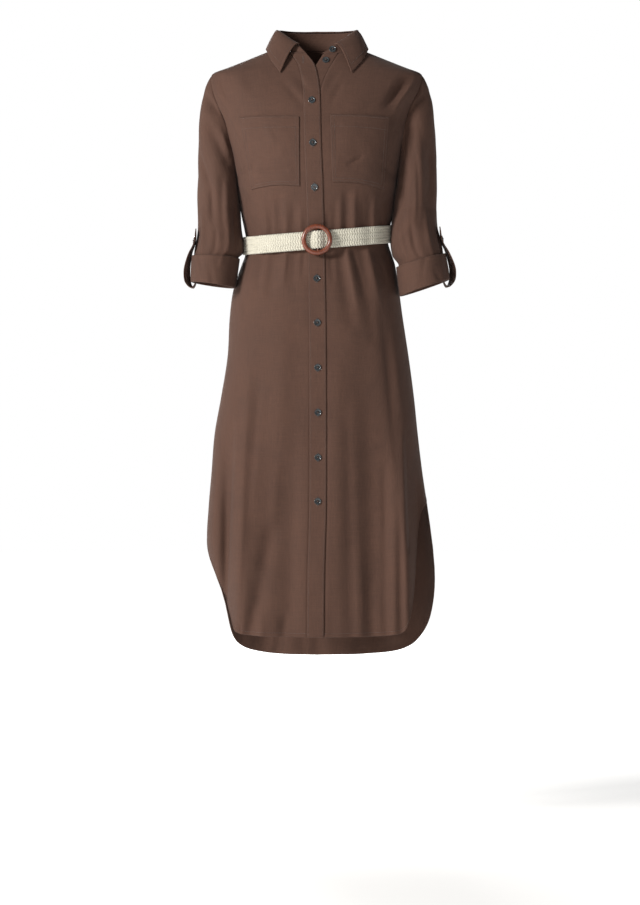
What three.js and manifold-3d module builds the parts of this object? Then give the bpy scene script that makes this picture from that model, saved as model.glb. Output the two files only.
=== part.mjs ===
// A midi shirt dress with rolled sleeves, two chest pockets and a ring belt.
// Millimetres, +Z up. The front faces -Y, so the wearer's right side is -X.
// The origin lies between the shoulders, level with the neck ends of the shoulder seams.
import * as THREE from "three";
import Module from "manifold-3d";
import { mergeVertices } from "three/addons/utils/BufferGeometryUtils.js";

// Cloth
const CLOTH = 1.2;            // wall of one layer with its turnings
const SEAM = 0.3;             // gap between two pieces at a seam
const LIFT = 0.6;             // gap under a piece that lies on a panel
const COLLAR_WALL = 1.8;      // collar and stand are two layers and a stiffener
const STAND_GAP = 0.55;       // between the neckline and the stand, which bend differently
const COLLAR_LIFT = 1.4;      // gap under the collar's lower edge
const COLLAR_CROWN = { along: 0.35, rise: 5 };  // where the collar's roll is highest
const FOLD_FADE = 2.5;        // how fast folds rise from nothing at the side seams

// Levels
const SHOULDER_TIP = { x: 196, z: -47 };
const NECK_POINT_X = 78;      // neck end of the shoulder seam, at z = 0
const FRONT_NECK_DROP = 16;
const BACK_NECK_RISE = 6;
const UNDERARM = -252;
const WAIST_LOW = -449;
const FRONT_HEM = -1090;

// Front bands, pockets and buttons
const BAND_WIDTH = 30;
const BAND_TUCK = 1.5;        // how far the right front reaches under its band
const UNDER_TUCK = 3;         // how far the under band stops short of the top band's edge
const BUTTON_RADIUS = 6.3;
const BUTTON_THICK = 2.8;
const BUTTON_DISH = 0.9;

// Belt and buckle
const BELT_HEIGHT = 32;
const BELT_THICK = 3.5;
const BELT_CLEAR = 3.4;       // from the cloth to the first turn
const BELT_Z = -356;
const BELT_RISE_X = 0.085;    // the belt climbs towards the wearer's left
const BELT_RISE_Y = 0.08;     // and sits lower in front than behind
const TAIL_REACH = 105;       // free end, measured from the buckle
const RING_RADIUS = 24.2;
const RING_TUBE = 4.3;
const BAR_RADIUS = 2;
const RING_OUT = 15.6;        // ring's middle, out from the cloth
const BAR_OUT = 10.9;

// Sleeves, cuffs and tabs
const AROUND = 20;            // steps round a sleeve
const CAP_STEPS = 8;
const CUFF_WALL = 4;
const TAB_WIDTH = 24;
const TAB_WALL = 1.6;

// The body of the garment, level by level: reach to each side, to the front and
// to the back, and how square the section is (2 is an ellipse).
const BODY = [
  { z: 6, right: 60, left: 60, front: 50, back: 60, square: 2.2 },
  { z: 0, right: 78, left: 78, front: 54, back: 62, square: 2.2 },
  { z: -12, right: 108, left: 108, front: 58, back: 66, square: 2.2 },
  { z: -24, right: 138, left: 138, front: 63, back: 71, square: 2.2 },
  { z: -36, right: 168, left: 168, front: 69, back: 77, square: 2.25 },
  { z: -47, right: 196, left: 196, front: 75, back: 83, square: 2.3 },
  { z: -62, right: 205, left: 203, front: 84, back: 90, square: 2.3 },
  { z: -84, right: 206, left: 199, front: 95, back: 97, square: 2.35 },
  { z: -106, right: 197, left: 188, front: 105, back: 103, square: 2.4 },
  { z: -140, right: 181, left: 173, front: 116, back: 108, square: 2.4 },
  { z: -166, right: 173, left: 167, front: 122, back: 109, square: 2.4 },
  { z: -204, right: 160, left: 158, front: 125, back: 107, square: 2.4 },
  { z: -230, right: 154, left: 153, front: 124, back: 104, square: 2.4 },
  { z: -252, right: 150, left: 149, front: 121, back: 101, square: 2.4 },
  { z: -280, right: 143, left: 143, front: 115, back: 96, square: 2.35 },
  { z: -309, right: 137.5, left: 137.5, front: 107, back: 92, square: 2.3 },
  { z: -338, right: 133, left: 133, front: 100, back: 89, square: 2.3 },
  { z: -360, right: 132, left: 132.5, front: 99, back: 88, square: 2.3 },
  { z: -386, right: 133.5, left: 134, front: 100, back: 89, square: 2.3 },
  { z: -404, right: 140, left: 143, front: 105, back: 96, square: 2.35 },
  { z: -449, right: 156, left: 153, front: 112, back: 105, square: 2.4 },
  { z: -501, right: 163, left: 160, front: 116, back: 110, square: 2.5 },
  { z: -574, right: 167, left: 171, front: 119, back: 114, square: 2.6 },
  { z: -650, right: 179, left: 181, front: 120, back: 117, square: 2.7 },
  { z: -718, right: 191, left: 188, front: 121, back: 118, square: 2.8 },
  { z: -793, right: 197, left: 197, front: 122, back: 120, square: 2.9 },
  { z: -853, right: 202, left: 206, front: 123, back: 122, square: 3 },
  { z: -919, right: 205, left: 216, front: 124, back: 123, square: 3 },
  { z: -976, right: 196, left: 222, front: 124, back: 124, square: 3 },
  { z: -1030, right: 180, left: 223, front: 124, back: 124, square: 3 },
  { z: -1140, right: 166, left: 214, front: 124, back: 124, square: 3 },
];

// Armhole seam seen from the front: distance from the middle on each side.
const ARMHOLE = [
  { z: -47, right: 196, left: 196 },
  { z: -62, right: 196.5, left: 194 },
  { z: -84, right: 193, left: 187 },
  { z: -106, right: 185, left: 175 },
  { z: -140, right: 170.5, left: 164 },
  { z: -166, right: 164, left: 159 },
  { z: -204, right: 155, left: 154 },
  { z: -230, right: 151.5, left: 150.5 },
  { z: -252, right: 150, left: 149 },
];

// Middle line of each front band. They part at the open neck.
const FRONT_LINE = [
  { z: -8, upper: -41, under: 33 },
  { z: -17, upper: -35, under: 24 },
  { z: -28, upper: -26, under: 17 },
  { z: -39, upper: -19.5, under: 10.5 },
  { z: -60, upper: -14, under: 0.5 },
  { z: -82, upper: -10.8, under: -7 },
  { z: -104, upper: -9.5, under: -9.5 },
  { z: -180, upper: -8, under: -8 },
  { z: -270, upper: -4.5, under: -4.5 },
  { z: -430, upper: -0.5, under: -0.5 },
  { z: -600, upper: 1.5, under: 1.5 },
  { z: -850, upper: 1.5, under: 1.5 },
  { z: -960, upper: -1.5, under: -1.5 },
  { z: -1090, upper: -3, under: -3 },
];

// Hems: height at each share of the way from the middle line to a side seam.
const HEM_FRONT = [
  { share: 0, right: -1090, left: -1090 },
  { share: 0.3, right: -1089, left: -1089 },
  { share: 0.45, right: -1088, left: -1086 },
  { share: 0.525, right: -1087, left: -1078 },
  { share: 0.565, right: -1086, left: -1050 },
  { share: 0.6, right: -1085, left: -985 },
  { share: 0.64, right: -1083, left: -925 },
  { share: 0.69, right: -1076, left: -886 },
  { share: 0.735, right: -1040, left: -868 },
  { share: 0.77, right: -1000, left: -860 },
  { share: 0.83, right: -970, left: -852 },
  { share: 0.92, right: -940, left: -845 },
  { share: 1, right: -915, left: -842 },
];
const HEM_BACK = [
  { share: 0, right: -1140, left: -1140 },
  { share: 0.3, right: -1137, left: -1137 },
  { share: 0.5, right: -1130, left: -1130 },
  { share: 0.64, right: -1120, left: -1116 },
  { share: 0.74, right: -1106, left: -1095 },
  { share: 0.8, right: -1084, left: -1078 },
  { share: 0.84, right: -1042, left: -1062 },
  { share: 0.87, right: -1000, left: -1044 },
  { share: 0.9, right: -972, left: -1020 },
  { share: 0.95, right: -942, left: -965 },
  { share: 1, right: -915, left: -842 },
];

// Folds: a line from (x1, z1) to (x2, z2) seen from the front, the width to each
// side, the height out of the cloth (below zero is a trough), and how much of it is
// left at each end.
const FOLDS_FRONT = [
  { x1: 163, z1: -66, x2: 125, z2: -124, width: 9, height: -5, begin: 0.6, end: 0 },
  { x1: 176, z1: -84, x2: 142, z2: -130, width: 8, height: 3, begin: 0.3, end: 0 },
  { x1: -42, z1: -58, x2: -8, z2: -100, width: 7, height: -1.6, begin: 0.5, end: 0 },
  { x1: 38, z1: -56, x2: 14, z2: -92, width: 7, height: -1.6, begin: 0.5, end: 0 },
  { x1: -124, z1: -262, x2: -118, z2: -345, width: 9, height: -3.5, begin: 0, end: 1 },
  { x1: -70, z1: -268, x2: -68, z2: -350, width: 8, height: -2.5, begin: 0, end: 1 },
  { x1: -42, z1: -285, x2: -43, z2: -350, width: 7, height: -2, begin: 0, end: 1 },
  { x1: 33, z1: -290, x2: 31, z2: -350, width: 7, height: -2, begin: 0, end: 1 },
  { x1: 55, z1: -262, x2: 53, z2: -350, width: 8, height: -3, begin: 0, end: 1 },
  { x1: 95, z1: -275, x2: 91, z2: -350, width: 8, height: -3, begin: 0, end: 1 },
  { x1: -78, z1: -385, x2: -88, z2: -485, width: 10, height: -3.5, begin: 1, end: 0 },
  { x1: -40, z1: -385, x2: -45, z2: -460, width: 9, height: -2.5, begin: 1, end: 0 },
  { x1: 40, z1: -385, x2: 64, z2: -530, width: 11, height: -4, begin: 1, end: 0 },
  { x1: 79, z1: -385, x2: 106, z2: -560, width: 12, height: -4.5, begin: 1, end: 0 },
  { x1: 112, z1: -385, x2: 132, z2: -470, width: 10, height: -3.5, begin: 1, end: 0 },
  { x1: -84, z1: -880, x2: -95, z2: -955, width: 13, height: -6, begin: 0, end: 0.8 },
  { x1: -95, z1: -955, x2: -120, z2: -1085, width: 14, height: -8, begin: 0.3, end: 1 },
  { x1: 84, z1: -540, x2: 100, z2: -1095, width: 22, height: -7, begin: 0.2, end: 1 },
  { x1: 138, z1: -840, x2: 140, z2: -1085, width: 13, height: 4, begin: 0, end: 1 },
  { x1: -140, z1: -700, x2: -146, z2: -1085, width: 12, height: 9, begin: 0, end: 1 },
  { x1: -168, z1: -700, x2: -164, z2: -1060, width: 12, height: -9, begin: 0, end: 0.8 },
  { x1: 156, z1: -690, x2: 166, z2: -1080, width: 12, height: 9, begin: 0, end: 1 },
  { x1: 184, z1: -690, x2: 192, z2: -1060, width: 13, height: -12, begin: 0, end: 1 },
];
const FOLDS_BACK = [
  { x1: -96, z1: -90, x2: -70, z2: -190, width: 16, height: -3, begin: 0, end: 0 },
  { x1: 92, z1: -96, x2: 74, z2: -205, width: 16, height: -3, begin: 0, end: 0 },
  { x1: -112, z1: -255, x2: -104, z2: -345, width: 9, height: -3, begin: 0, end: 1 },
  { x1: -66, z1: -240, x2: -62, z2: -345, width: 9, height: -3, begin: 0, end: 1 },
  { x1: -18, z1: -262, x2: -20, z2: -345, width: 9, height: -2.5, begin: 0, end: 1 },
  { x1: 30, z1: -248, x2: 26, z2: -345, width: 9, height: -3, begin: 0, end: 1 },
  { x1: 84, z1: -256, x2: 78, z2: -345, width: 9, height: -3, begin: 0, end: 1 },
  { x1: -88, z1: -372, x2: -104, z2: -520, width: 12, height: -4, begin: 1, end: 0 },
  { x1: -38, z1: -372, x2: -46, z2: -480, width: 10, height: -3.5, begin: 1, end: 0 },
  { x1: 12, z1: -372, x2: 14, z2: -500, width: 11, height: -4, begin: 1, end: 0 },
  { x1: 58, z1: -372, x2: 72, z2: -540, width: 12, height: -4, begin: 1, end: 0 },
  { x1: 104, z1: -372, x2: 122, z2: -480, width: 10, height: -3.5, begin: 1, end: 0 },
  { x1: -112, z1: -640, x2: -134, z2: -1110, width: 22, height: -8, begin: 0, end: 1 },
  { x1: -34, z1: -600, x2: -48, z2: -1130, width: 24, height: -8, begin: 0, end: 1 },
  { x1: 52, z1: -660, x2: 66, z2: -1130, width: 22, height: -8, begin: 0, end: 1 },
  { x1: 128, z1: -620, x2: 150, z2: -1100, width: 20, height: -7, begin: 0, end: 1 },
];

// Pockets: corner places seen from the front, and how far the lower edge dips.
const POCKETS = [
  {
    name: "pocket_right",
    top: [{ x: -141, z: -138 }, { x: -33, z: -140 }],
    low: [{ x: -119.5, z: -269 }, { x: -32, z: -266 }],
    rise: 4,
  },
  {
    name: "pocket_left",
    top: [{ x: 24.8, z: -137 }, { x: 131.5, z: -138.5 }],
    low: [{ x: 28.3, z: -258.5 }, { x: 122.6, z: -269 }],
    rise: 4,
  },
];

// Front buttons: height, and the band that carries each.
const BUTTONS = [
  { z: -8, band: "stand" },
  { z: -29, band: "under" },
  { z: -109, band: "upper" },
  { z: -188, band: "upper" },
  { z: -268, band: "upper" },
  { z: -435, band: "upper" },
  { z: -516, band: "upper" },
  { z: -598, band: "upper" },
  { z: -680, band: "upper" },
  { z: -762, band: "upper" },
  { z: -842, band: "upper" },
];

// Height of the collar's fold line at each angle from the front.
const FOLD_LINE = [
  { angle: 26, z: -1 },
  { angle: 38, z: 7 },
  { angle: 50, z: 16 },
  { angle: 62, z: 23 },
  { angle: 75, z: 29 },
  { angle: 90, z: 32 },
  { angle: 130, z: 36 },
  { angle: 180, z: 38 },
];
const FOLD_HALF_WIDTH = 73;
const FOLD_FRONT = 58;
const FOLD_BACK = 58;

// Lower edge of the turned-down collar on each side, tip first.
const COLLAR_EDGE = [
  { face: "front", right: -67, left: 63, z: -54 },
  { face: "front", right: -76, left: 74, z: -41 },
  { face: "front", right: -84, left: 84, z: -28 },
  { face: "front", right: -89.5, left: 90, z: -14 },
  { face: "ridge", right: -93, left: 94, z: 0 },
  { face: "back", right: -76, left: 76, z: -10 },
  { face: "back", right: -44, left: 44, z: -14 },
  { face: "back", right: 0, left: 0, z: -15 },
];

// Sleeves below the cap: middle, half sizes, and how much each ring climbs outwards.
const ARM = {
  right: [
    { z: -300, x: -184, y: -8, wide: 37, deep: 57, climb: 0 },
    { z: -337, x: -182, y: -18, wide: 38.5, deep: 54, climb: 0.04 },
    { z: -360, x: -183.5, y: -25, wide: 40, deep: 52, climb: 0.08 },
    { z: -378, x: -186, y: -30, wide: 40, deep: 49, climb: 0.1 },
    { z: -390, x: -187.8, y: -33, wide: 40.2, deep: 48, climb: 0.06 },
    { z: -402, x: -189, y: -35.7, wide: 39.6, deep: 47.4, climb: 0.07 },
  ],
  left: [
    { z: -300, x: 183.5, y: -12, wide: 38, deep: 57, climb: 0 },
    { z: -337, x: 181, y: -26, wide: 43, deep: 54, climb: 0.08 },
    { z: -360, x: 185, y: -34, wide: 43, deep: 52, climb: 0.16 },
    { z: -380, x: 190, y: -40, wide: 42, deep: 49, climb: 0.22 },
    { z: -393, x: 192, y: -42.3, wide: 41.4, deep: 48.2, climb: 0.25 },
    { z: -406, x: 193.7, y: -44.7, wide: 41.4, deep: 47.5, climb: 0.27 },
  ],
};

// Folds on the sleeves, by angle from the outer side towards the front and level.
const FOLDS_SLEEVE = {
  right: [
    { a1: 30, z1: -125, a2: 128, z2: -235, width: 16, height: -4 },
    { a1: 52, z1: -205, a2: 78, z2: -350, width: 14, height: -5 },
    { a1: 110, z1: -250, a2: 112, z2: -350, width: 14, height: 3 },
    { a1: 10, z1: -240, a2: 24, z2: -350, width: 16, height: 2.5 },
    { a1: 235, z1: -140, a2: 280, z2: -290, width: 18, height: -5 },
    { a1: 320, z1: -230, a2: 300, z2: -350, width: 16, height: -4 },
  ],
  left: [
    { a1: 62, z1: -140, a2: 92, z2: -345, width: 13, height: 4 },
    { a1: 42, z1: -150, a2: 62, z2: -345, width: 14, height: -4 },
    { a1: 118, z1: -210, a2: 122, z2: -345, width: 14, height: -4 },
    { a1: 12, z1: -220, a2: 26, z2: -345, width: 14, height: 2.5 },
    { a1: 240, z1: -150, a2: 270, z2: -300, width: 18, height: -5 },
    { a1: 318, z1: -210, a2: 306, z2: -345, width: 16, height: -4 },
  ],
};

// Cuffs: ring middles at the upper and the lower end.
const CUFF = {
  right: {
    top: { z: -390, x: -188, y: -33, wide: 45, deep: 53, climb: 0.05 },
    low: { z: -443, x: -192.5, y: -45, wide: 41.5, deep: 49, climb: 0.14 },
  },
  left: {
    top: { z: -397, x: 192.5, y: -43, wide: 46, deep: 53, climb: 0.26 },
    low: { z: -449, x: 199.5, y: -53, wide: 46.5, deep: 49, climb: 0.34 },
  },
};

// Tabs: the strap's middle line, out from the wearer, from its tip over the roll,
// under it and up inside. Out is measured from the body's middle plane.
const TAB = {
  right: {
    y: -40,
    line: [
      { out: 224.5, z: -338 }, { out: 227, z: -362 }, { out: 238.5, z: -388 },
      { out: 243.5, z: -420 }, { out: 240, z: -440 }, { out: 231, z: -449 },
      { out: 225.5, z: -441 }, { out: 226.5, z: -422 }, { out: 226, z: -411 },
    ],
    buttonZ: -360,
  },
  left: {
    y: -49,
    line: [
      { out: 227.5, z: -335 }, { out: 231.5, z: -361 }, { out: 244, z: -385 },
      { out: 253.5, z: -418 }, { out: 251, z: -438 }, { out: 241, z: -448 },
      { out: 235, z: -440 }, { out: 234.5, z: -424 }, { out: 232, z: -413 },
    ],
    buttonZ: -358,
  },
};

// Small helpers

const mix = (a, b, t) => a + (b - a) * t;
const clamp = (value, low, high) => Math.min(high, Math.max(low, value));
const sideOf = (x) => (x < 0 ? "right" : "left");
const signOf = (side) => (side === "right" ? -1 : 1);

// One column of a table, read at any place along another column, with smooth slopes.
function read(table, key, column, at) {
  const rows = table[0][key] < table[table.length - 1][key] ? table : [...table].reverse();
  if (at <= rows[0][key]) return rows[0][column];
  const last = rows.length - 1;
  if (at >= rows[last][key]) return rows[last][column];
  let i = 0;
  while (rows[i + 1][key] < at) i += 1;
  const slope = (k) => {
    const before = rows[Math.max(0, k - 1)];
    const after = rows[Math.min(last, k + 1)];
    return (after[column] - before[column]) / (after[key] - before[key]);
  };
  const span = rows[i + 1][key] - rows[i][key];
  const t = (at - rows[i][key]) / span;
  const a = rows[i][column];
  const b = rows[i + 1][column];
  const h = t * t * (3 - 2 * t);
  return mix(a, b, h) + span * (t * (1 - t) * ((1 - t) * slope(i) - t * slope(i + 1)));
}

// How far the folds of a table lift the cloth at one place.
function foldHeight(folds, x, z) {
  let height = 0;
  for (const f of folds) {
    const dx = f.x2 - f.x1;
    const dz = f.z2 - f.z1;
    const t = clamp(((x - f.x1) * dx + (z - f.z1) * dz) / (dx * dx + dz * dz), 0, 1);
    const away = Math.hypot(x - mix(f.x1, f.x2, t), z - mix(f.z1, f.z2, t)) / f.width;
    const full = 2 - (f.begin + f.end) / 2;
    const left = (1 - t) ** 2 * f.begin + 2 * t * (1 - t) * full + t * t * f.end;
    height += f.height * left * Math.exp(-away * away);
  }
  return height;
}

// The garment's outer surface

const halfWidth = (x, z) => read(BODY, "z", sideOf(x), z);

// Share of the way from the middle line (0) to a side seam (-1 right, 1 left).
function shareAt(x, z) {
  return Math.sign(x) * Math.asin(clamp(Math.abs(x) / halfWidth(x, z), 0, 1)) * (2 / Math.PI);
}

// A point on the outer surface and the way straight out of it.
function bodySpot(face, share, z) {
  const outward = face === "front" ? -1 : 1;
  const side = sideOf(share);
  const half = read(BODY, "z", side, z);
  const depth = read(BODY, "z", face, z);
  const square = read(BODY, "z", "square", z);
  const ratio = Math.abs(Math.sin((share * Math.PI) / 2));
  const reach = (1 - Math.min(1, ratio) ** square) ** (1 / square);
  const x = signOf(side) * half * ratio;
  const folds = foldHeight(face === "front" ? FOLDS_FRONT : FOLDS_BACK, x, z);
  const y = outward * (SEAM / 2 + depth * reach + folds * Math.min(1, FOLD_FADE * reach));

  const step = 1;
  const widen = (read(BODY, "z", side, z + step) - half) / step;
  const deepen = (read(BODY, "z", face, z + step) - depth) / step;
  const nx = ratio ** (square - 1) / half;
  const ny = reach ** (square - 1) / depth;
  const nz = -(nx * ratio * widen + ny * reach * deepen);
  const normal = new THREE.Vector3(signOf(side) * nx, outward * ny, nz).normalize();
  return { point: new THREE.Vector3(x, y, z), normal };
}

const bodyAt = (face, x, z) => bodySpot(face, shareAt(x, z), z);

// The back neckline stays low by the neck points, where the body is narrower above them.
const backNeckZ = (x) => BACK_NECK_RISE * (1 - (x / NECK_POINT_X) ** 2);

// Front neckline: from the middle to the neck end of the shoulder seam.
const frontNeckZ = (x) => {
  const across = clamp(Math.abs(x) / NECK_POINT_X, 0, 1);
  return -FRONT_NECK_DROP * Math.sqrt(1 - across * across);
};

// Solids from grids

// One closed body from loose triangles, turned so that its faces point out.
function closedBody(points, triangles) {
  let volume = 0;
  const cross = new THREE.Vector3();
  for (const [a, b, c] of triangles) {
    volume += cross.crossVectors(points[b], points[c]).dot(points[a]);
  }
  const index = volume > 0 ? triangles.flat() : triangles.flatMap(([a, b, c]) => [a, c, b]);
  const flat = new Float32Array(points.flatMap((p) => [p.x, p.y, p.z]));
  const geometry = new THREE.BufferGeometry();
  geometry.setAttribute("position", new THREE.BufferAttribute(flat, 3));
  geometry.setIndex(index);
  geometry.computeVertexNormals();
  return geometry;
}

// A wall between two grids of points. A loop is closed across its columns.
function wall(outer, inner, loop = false) {
  const rows = outer.length;
  const columns = outer[0].length;
  const points = [...outer.flat(), ...inner.flat()];
  const under = rows * columns;
  const at = (i, j) => i * columns + (j % columns);
  const triangles = [];
  const quad = (a, b, c, d) => triangles.push([a, b, c], [a, c, d]);
  const lastColumn = loop ? columns : columns - 1;
  for (let i = 0; i < rows - 1; i += 1) {
    for (let j = 0; j < lastColumn; j += 1) {
      const [a, b, c, d] = [at(i, j), at(i, j + 1), at(i + 1, j + 1), at(i + 1, j)];
      quad(a, b, c, d);
      quad(under + a, under + d, under + c, under + b);
    }
  }
  for (let j = 0; j < lastColumn; j += 1) {
    const [a, b] = [at(0, j), at(0, j + 1)];
    const [c, d] = [at(rows - 1, j), at(rows - 1, j + 1)];
    quad(b, a, under + a, under + b);
    quad(c, d, under + d, under + c);
  }
  if (!loop) {
    for (let i = 0; i < rows - 1; i += 1) {
      const [a, b] = [at(i, 0), at(i + 1, 0)];
      const [c, d] = [at(i, columns - 1), at(i + 1, columns - 1)];
      quad(a, b, under + b, under + a);
      quad(d, c, under + c, under + d);
    }
  }
  return closedBody(points, triangles);
}

const moved = (spot, distance) => spot.point.clone().addScaledVector(spot.normal, distance);

// A layer of cloth between two distances from the surface spots of a grid.
function layer(spots, from, to) {
  return wall(spots.map((row) => row.map((s) => moved(s, to))),
    spots.map((row) => row.map((s) => moved(s, from))));
}

// Straight out of a grid of points at one of its places, away from a ring's middle.
function gridNormal(grid, i, j, middle) {
  const columns = grid[i].length;
  const before = grid[i][(j + columns - 1) % columns];
  const after = grid[i][(j + 1) % columns];
  const above = grid[Math.max(0, i - 1)][j];
  const below = grid[Math.min(grid.length - 1, i + 1)][j];
  const along = after.clone().sub(before);
  const normal = along.cross(below.clone().sub(above)).normalize();
  const out = grid[i][j].clone().sub(middle);
  return normal.dot(out) < 0 ? normal.negate() : normal;
}

// Panels

const PANEL_COLUMNS = 12;
const SKIRT_STEPS = 14;
const WAIST_STEPS = 10;
const CHEST_STEPS = AROUND / 2;

// Where a front panel begins beside or under its band.
function frontEdge(side, z) {
  const edge = side === "right"
    ? read(FRONT_LINE, "z", "upper", z) - BAND_WIDTH / 2 + BAND_TUCK
    : read(FRONT_LINE, "z", "under", z) + BAND_WIDTH / 2 + SEAM;
  return shareAt(edge, z);
}

// Height of the neckline where a front panel's edge meets it.
function frontEdgeTop(side) {
  let z = -FRONT_NECK_DROP;
  for (let k = 0; k < 6; k += 1) {
    const share = frontEdge(side, z);
    z = frontNeckZ(Math.sin((share * Math.PI) / 2) * read(BODY, "z", side, z));
  }
  return z;
}

function armholeSpot(side, t) {
  const z = mix(UNDERARM, SHOULDER_TIP.z, t);
  return { share: shareAt(signOf(side) * read(ARMHOLE, "z", side, z), z), z };
}

const NECK_SHARE = 0.42;        // how much of a panel's upper edge is neckline

// Upper edge of half a panel: along the neckline, then along the shoulder seam.
function upperEdge(face, side, t, start) {
  const sign = signOf(side);
  if (t >= NECK_SHARE) {
    return { share: sign, z: mix(0, SHOULDER_TIP.z, (t - NECK_SHARE) / (1 - NECK_SHARE)) };
  }
  const angle = mix(start, Math.PI / 2, t / NECK_SHARE);
  const x = sign * NECK_POINT_X * Math.sin(angle);
  const z = face === "front" ? frontNeckZ(x) : backNeckZ(x);
  return { share: shareAt(x, z), z };
}

// Chest half of a panel, blended from its four edges.
function chestSpot(face, side, s, t) {
  const front = face === "front";
  const topZ = front ? frontEdgeTop(side) : BACK_NECK_RISE;
  const inner = (z) => ({ share: front ? frontEdge(side, z) : 0, z });
  const topX = front ? Math.sin((inner(topZ).share * Math.PI) / 2) * read(BODY, "z", side, topZ) : 0;
  const start = Math.asin(clamp(Math.abs(topX) / NECK_POINT_X, 0, 1));
  const low = inner(UNDERARM);
  const bottom = { share: mix(low.share, signOf(side), s), z: UNDERARM };
  const top = upperEdge(face, side, s, start);
  const near = inner(mix(UNDERARM, topZ, t));
  const far = armholeSpot(side, t);
  const blend = (key) => {
    const corners = mix(mix(inner(UNDERARM)[key], armholeSpot(side, 0)[key], s),
      mix(inner(topZ)[key], armholeSpot(side, 1)[key], s), t);
    return mix(bottom[key], top[key], t) + mix(near[key], far[key], s) - corners;
  };
  return bodySpot(face, blend("share"), blend("z"));
}

// Columns crowd together at the hem where its edge turns up steeply.
const HEM_COLUMNS = [0, 0.14, 0.27, 0.39, 0.48, 0.535, 0.585, 0.635, 0.69, 0.745, 0.8, 0.9, 1]
  .map((at, i, all) => ({ s: i / (all.length - 1), at }));
const crowded = (s, up) => mix(read(HEM_COLUMNS, "s", "at", s), s, up * up * (3 - 2 * up));

// Skirt and waist half of a panel.
function lowerSpot(face, side, s, row) {
  const edge = (z) => (face === "front" ? frontEdge(side, z) : 0);
  if (row >= SKIRT_STEPS) {
    const z = mix(WAIST_LOW, UNDERARM, (row - SKIRT_STEPS) / WAIST_STEPS);
    return bodySpot(face, mix(edge(z), signOf(side), s), z);
  }
  const hemTable = face === "front" ? HEM_FRONT : HEM_BACK;
  const hemShare = mix(Math.abs(edge(FRONT_HEM)), 1, crowded(s, 0));
  const hem = read(hemTable, "share", side, hemShare);
  const up = row / SKIRT_STEPS;
  const z = mix(hem, WAIST_LOW, up);
  return bodySpot(face, mix(edge(z), signOf(side), crowded(s, up)), z);
}

// Columns of spots from the middle to the side, for all rows from hem to shoulder.
function halfPanel(face, side) {
  const rows = [];
  const lowerRows = SKIRT_STEPS + WAIST_STEPS;
  for (let row = 0; row <= lowerRows + CHEST_STEPS; row += 1) {
    const spots = [];
    for (let j = 0; j <= PANEL_COLUMNS; j += 1) {
      const s = j / PANEL_COLUMNS;
      spots.push(row <= lowerRows
        ? lowerSpot(face, side, s, row)
        : chestSpot(face, side, s, (row - lowerRows) / CHEST_STEPS));
    }
    rows.push(spots);
  }
  return rows;
}

// Front bands

// Level of a band's row. Its rows are the rows of the panels beside it.
function bandLevel(row, top) {
  if (row < SKIRT_STEPS) return mix(FRONT_HEM, WAIST_LOW, row / SKIRT_STEPS);
  const above = row - SKIRT_STEPS;
  if (above < WAIST_STEPS) return mix(WAIST_LOW, UNDERARM, above / WAIST_STEPS);
  return mix(UNDERARM, top, (above - WAIST_STEPS) / CHEST_STEPS);
}

function band(line, from, to, inner, outer) {
  const rows = [];
  for (let i = 0; i <= SKIRT_STEPS + WAIST_STEPS + CHEST_STEPS; i += 1) {
    const row = [];
    for (let k = 0; k <= 2; k += 1) {
      const across = mix(from, to, k / 2);
      const z = bandLevel(i, frontNeckZ(read(FRONT_LINE, "z", line, -FRONT_NECK_DROP) + across));
      row.push(bodyAt("front", read(FRONT_LINE, "z", line, z) + across, z));
    }
    rows.push(row);
  }
  return layer(rows, inner, outer);
}

// Pockets

const POCKET_COLUMNS = 10;
const POCKET_ROWS = 7;

function pocket({ top, low, rise }) {
  const rows = [];
  for (let i = 0; i <= POCKET_ROWS; i += 1) {
    const t = i / POCKET_ROWS;
    const row = [];
    for (let j = 0; j <= POCKET_COLUMNS; j += 1) {
      const s = j / POCKET_COLUMNS;
      const x = mix(mix(top[0].x, top[1].x, s), mix(low[0].x, low[1].x, s), t);
      const z = mix(mix(top[0].z, top[1].z, s), mix(low[0].z, low[1].z, s), t);
      row.push(bodyAt("front", x, z + rise * t * Math.sin(Math.PI * s)));
    }
    rows.push(row);
  }
  return layer(rows, LIFT, LIFT + CLOTH);
}

// Collar

// Seam between the neckline and the stand, by angle from the front.
function neckSeam(angle) {
  const a = Math.abs(angle);
  const x = Math.sign(angle) * NECK_POINT_X * Math.sin((a * Math.PI) / 180);
  if (a <= 90) return bodyAt("front", x, frontNeckZ(x));
  return bodyAt("back", x, backNeckZ(x));
}

function foldLine(angle) {
  const a = (Math.abs(angle) * Math.PI) / 180;
  const depth = Math.abs(angle) <= 90 ? FOLD_FRONT : FOLD_BACK;
  return new THREE.Vector3(Math.sign(angle) * FOLD_HALF_WIDTH * Math.sin(a),
    -depth * Math.cos(a), read(FOLD_LINE, "angle", "z", Math.abs(angle)));
}

const STAND_STEPS = 34;
const STAND_ROWS = 2;
const STAND_FRONT = { right: 15, left: 7 };   // angle of the stand's ends at the seam
const FALL_FRONT = { right: 27, left: 27 };   // angle where the turned-down part begins

// Both neck pieces run round the back, from the right front end to the left one.
function roundNeck(fronts, step, steps) {
  const t = mix(-1, 1, step / steps);
  if (t < 0) return -180 - t * (180 - fronts.right);
  return 180 - t * (180 - fronts.left);
}

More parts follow.
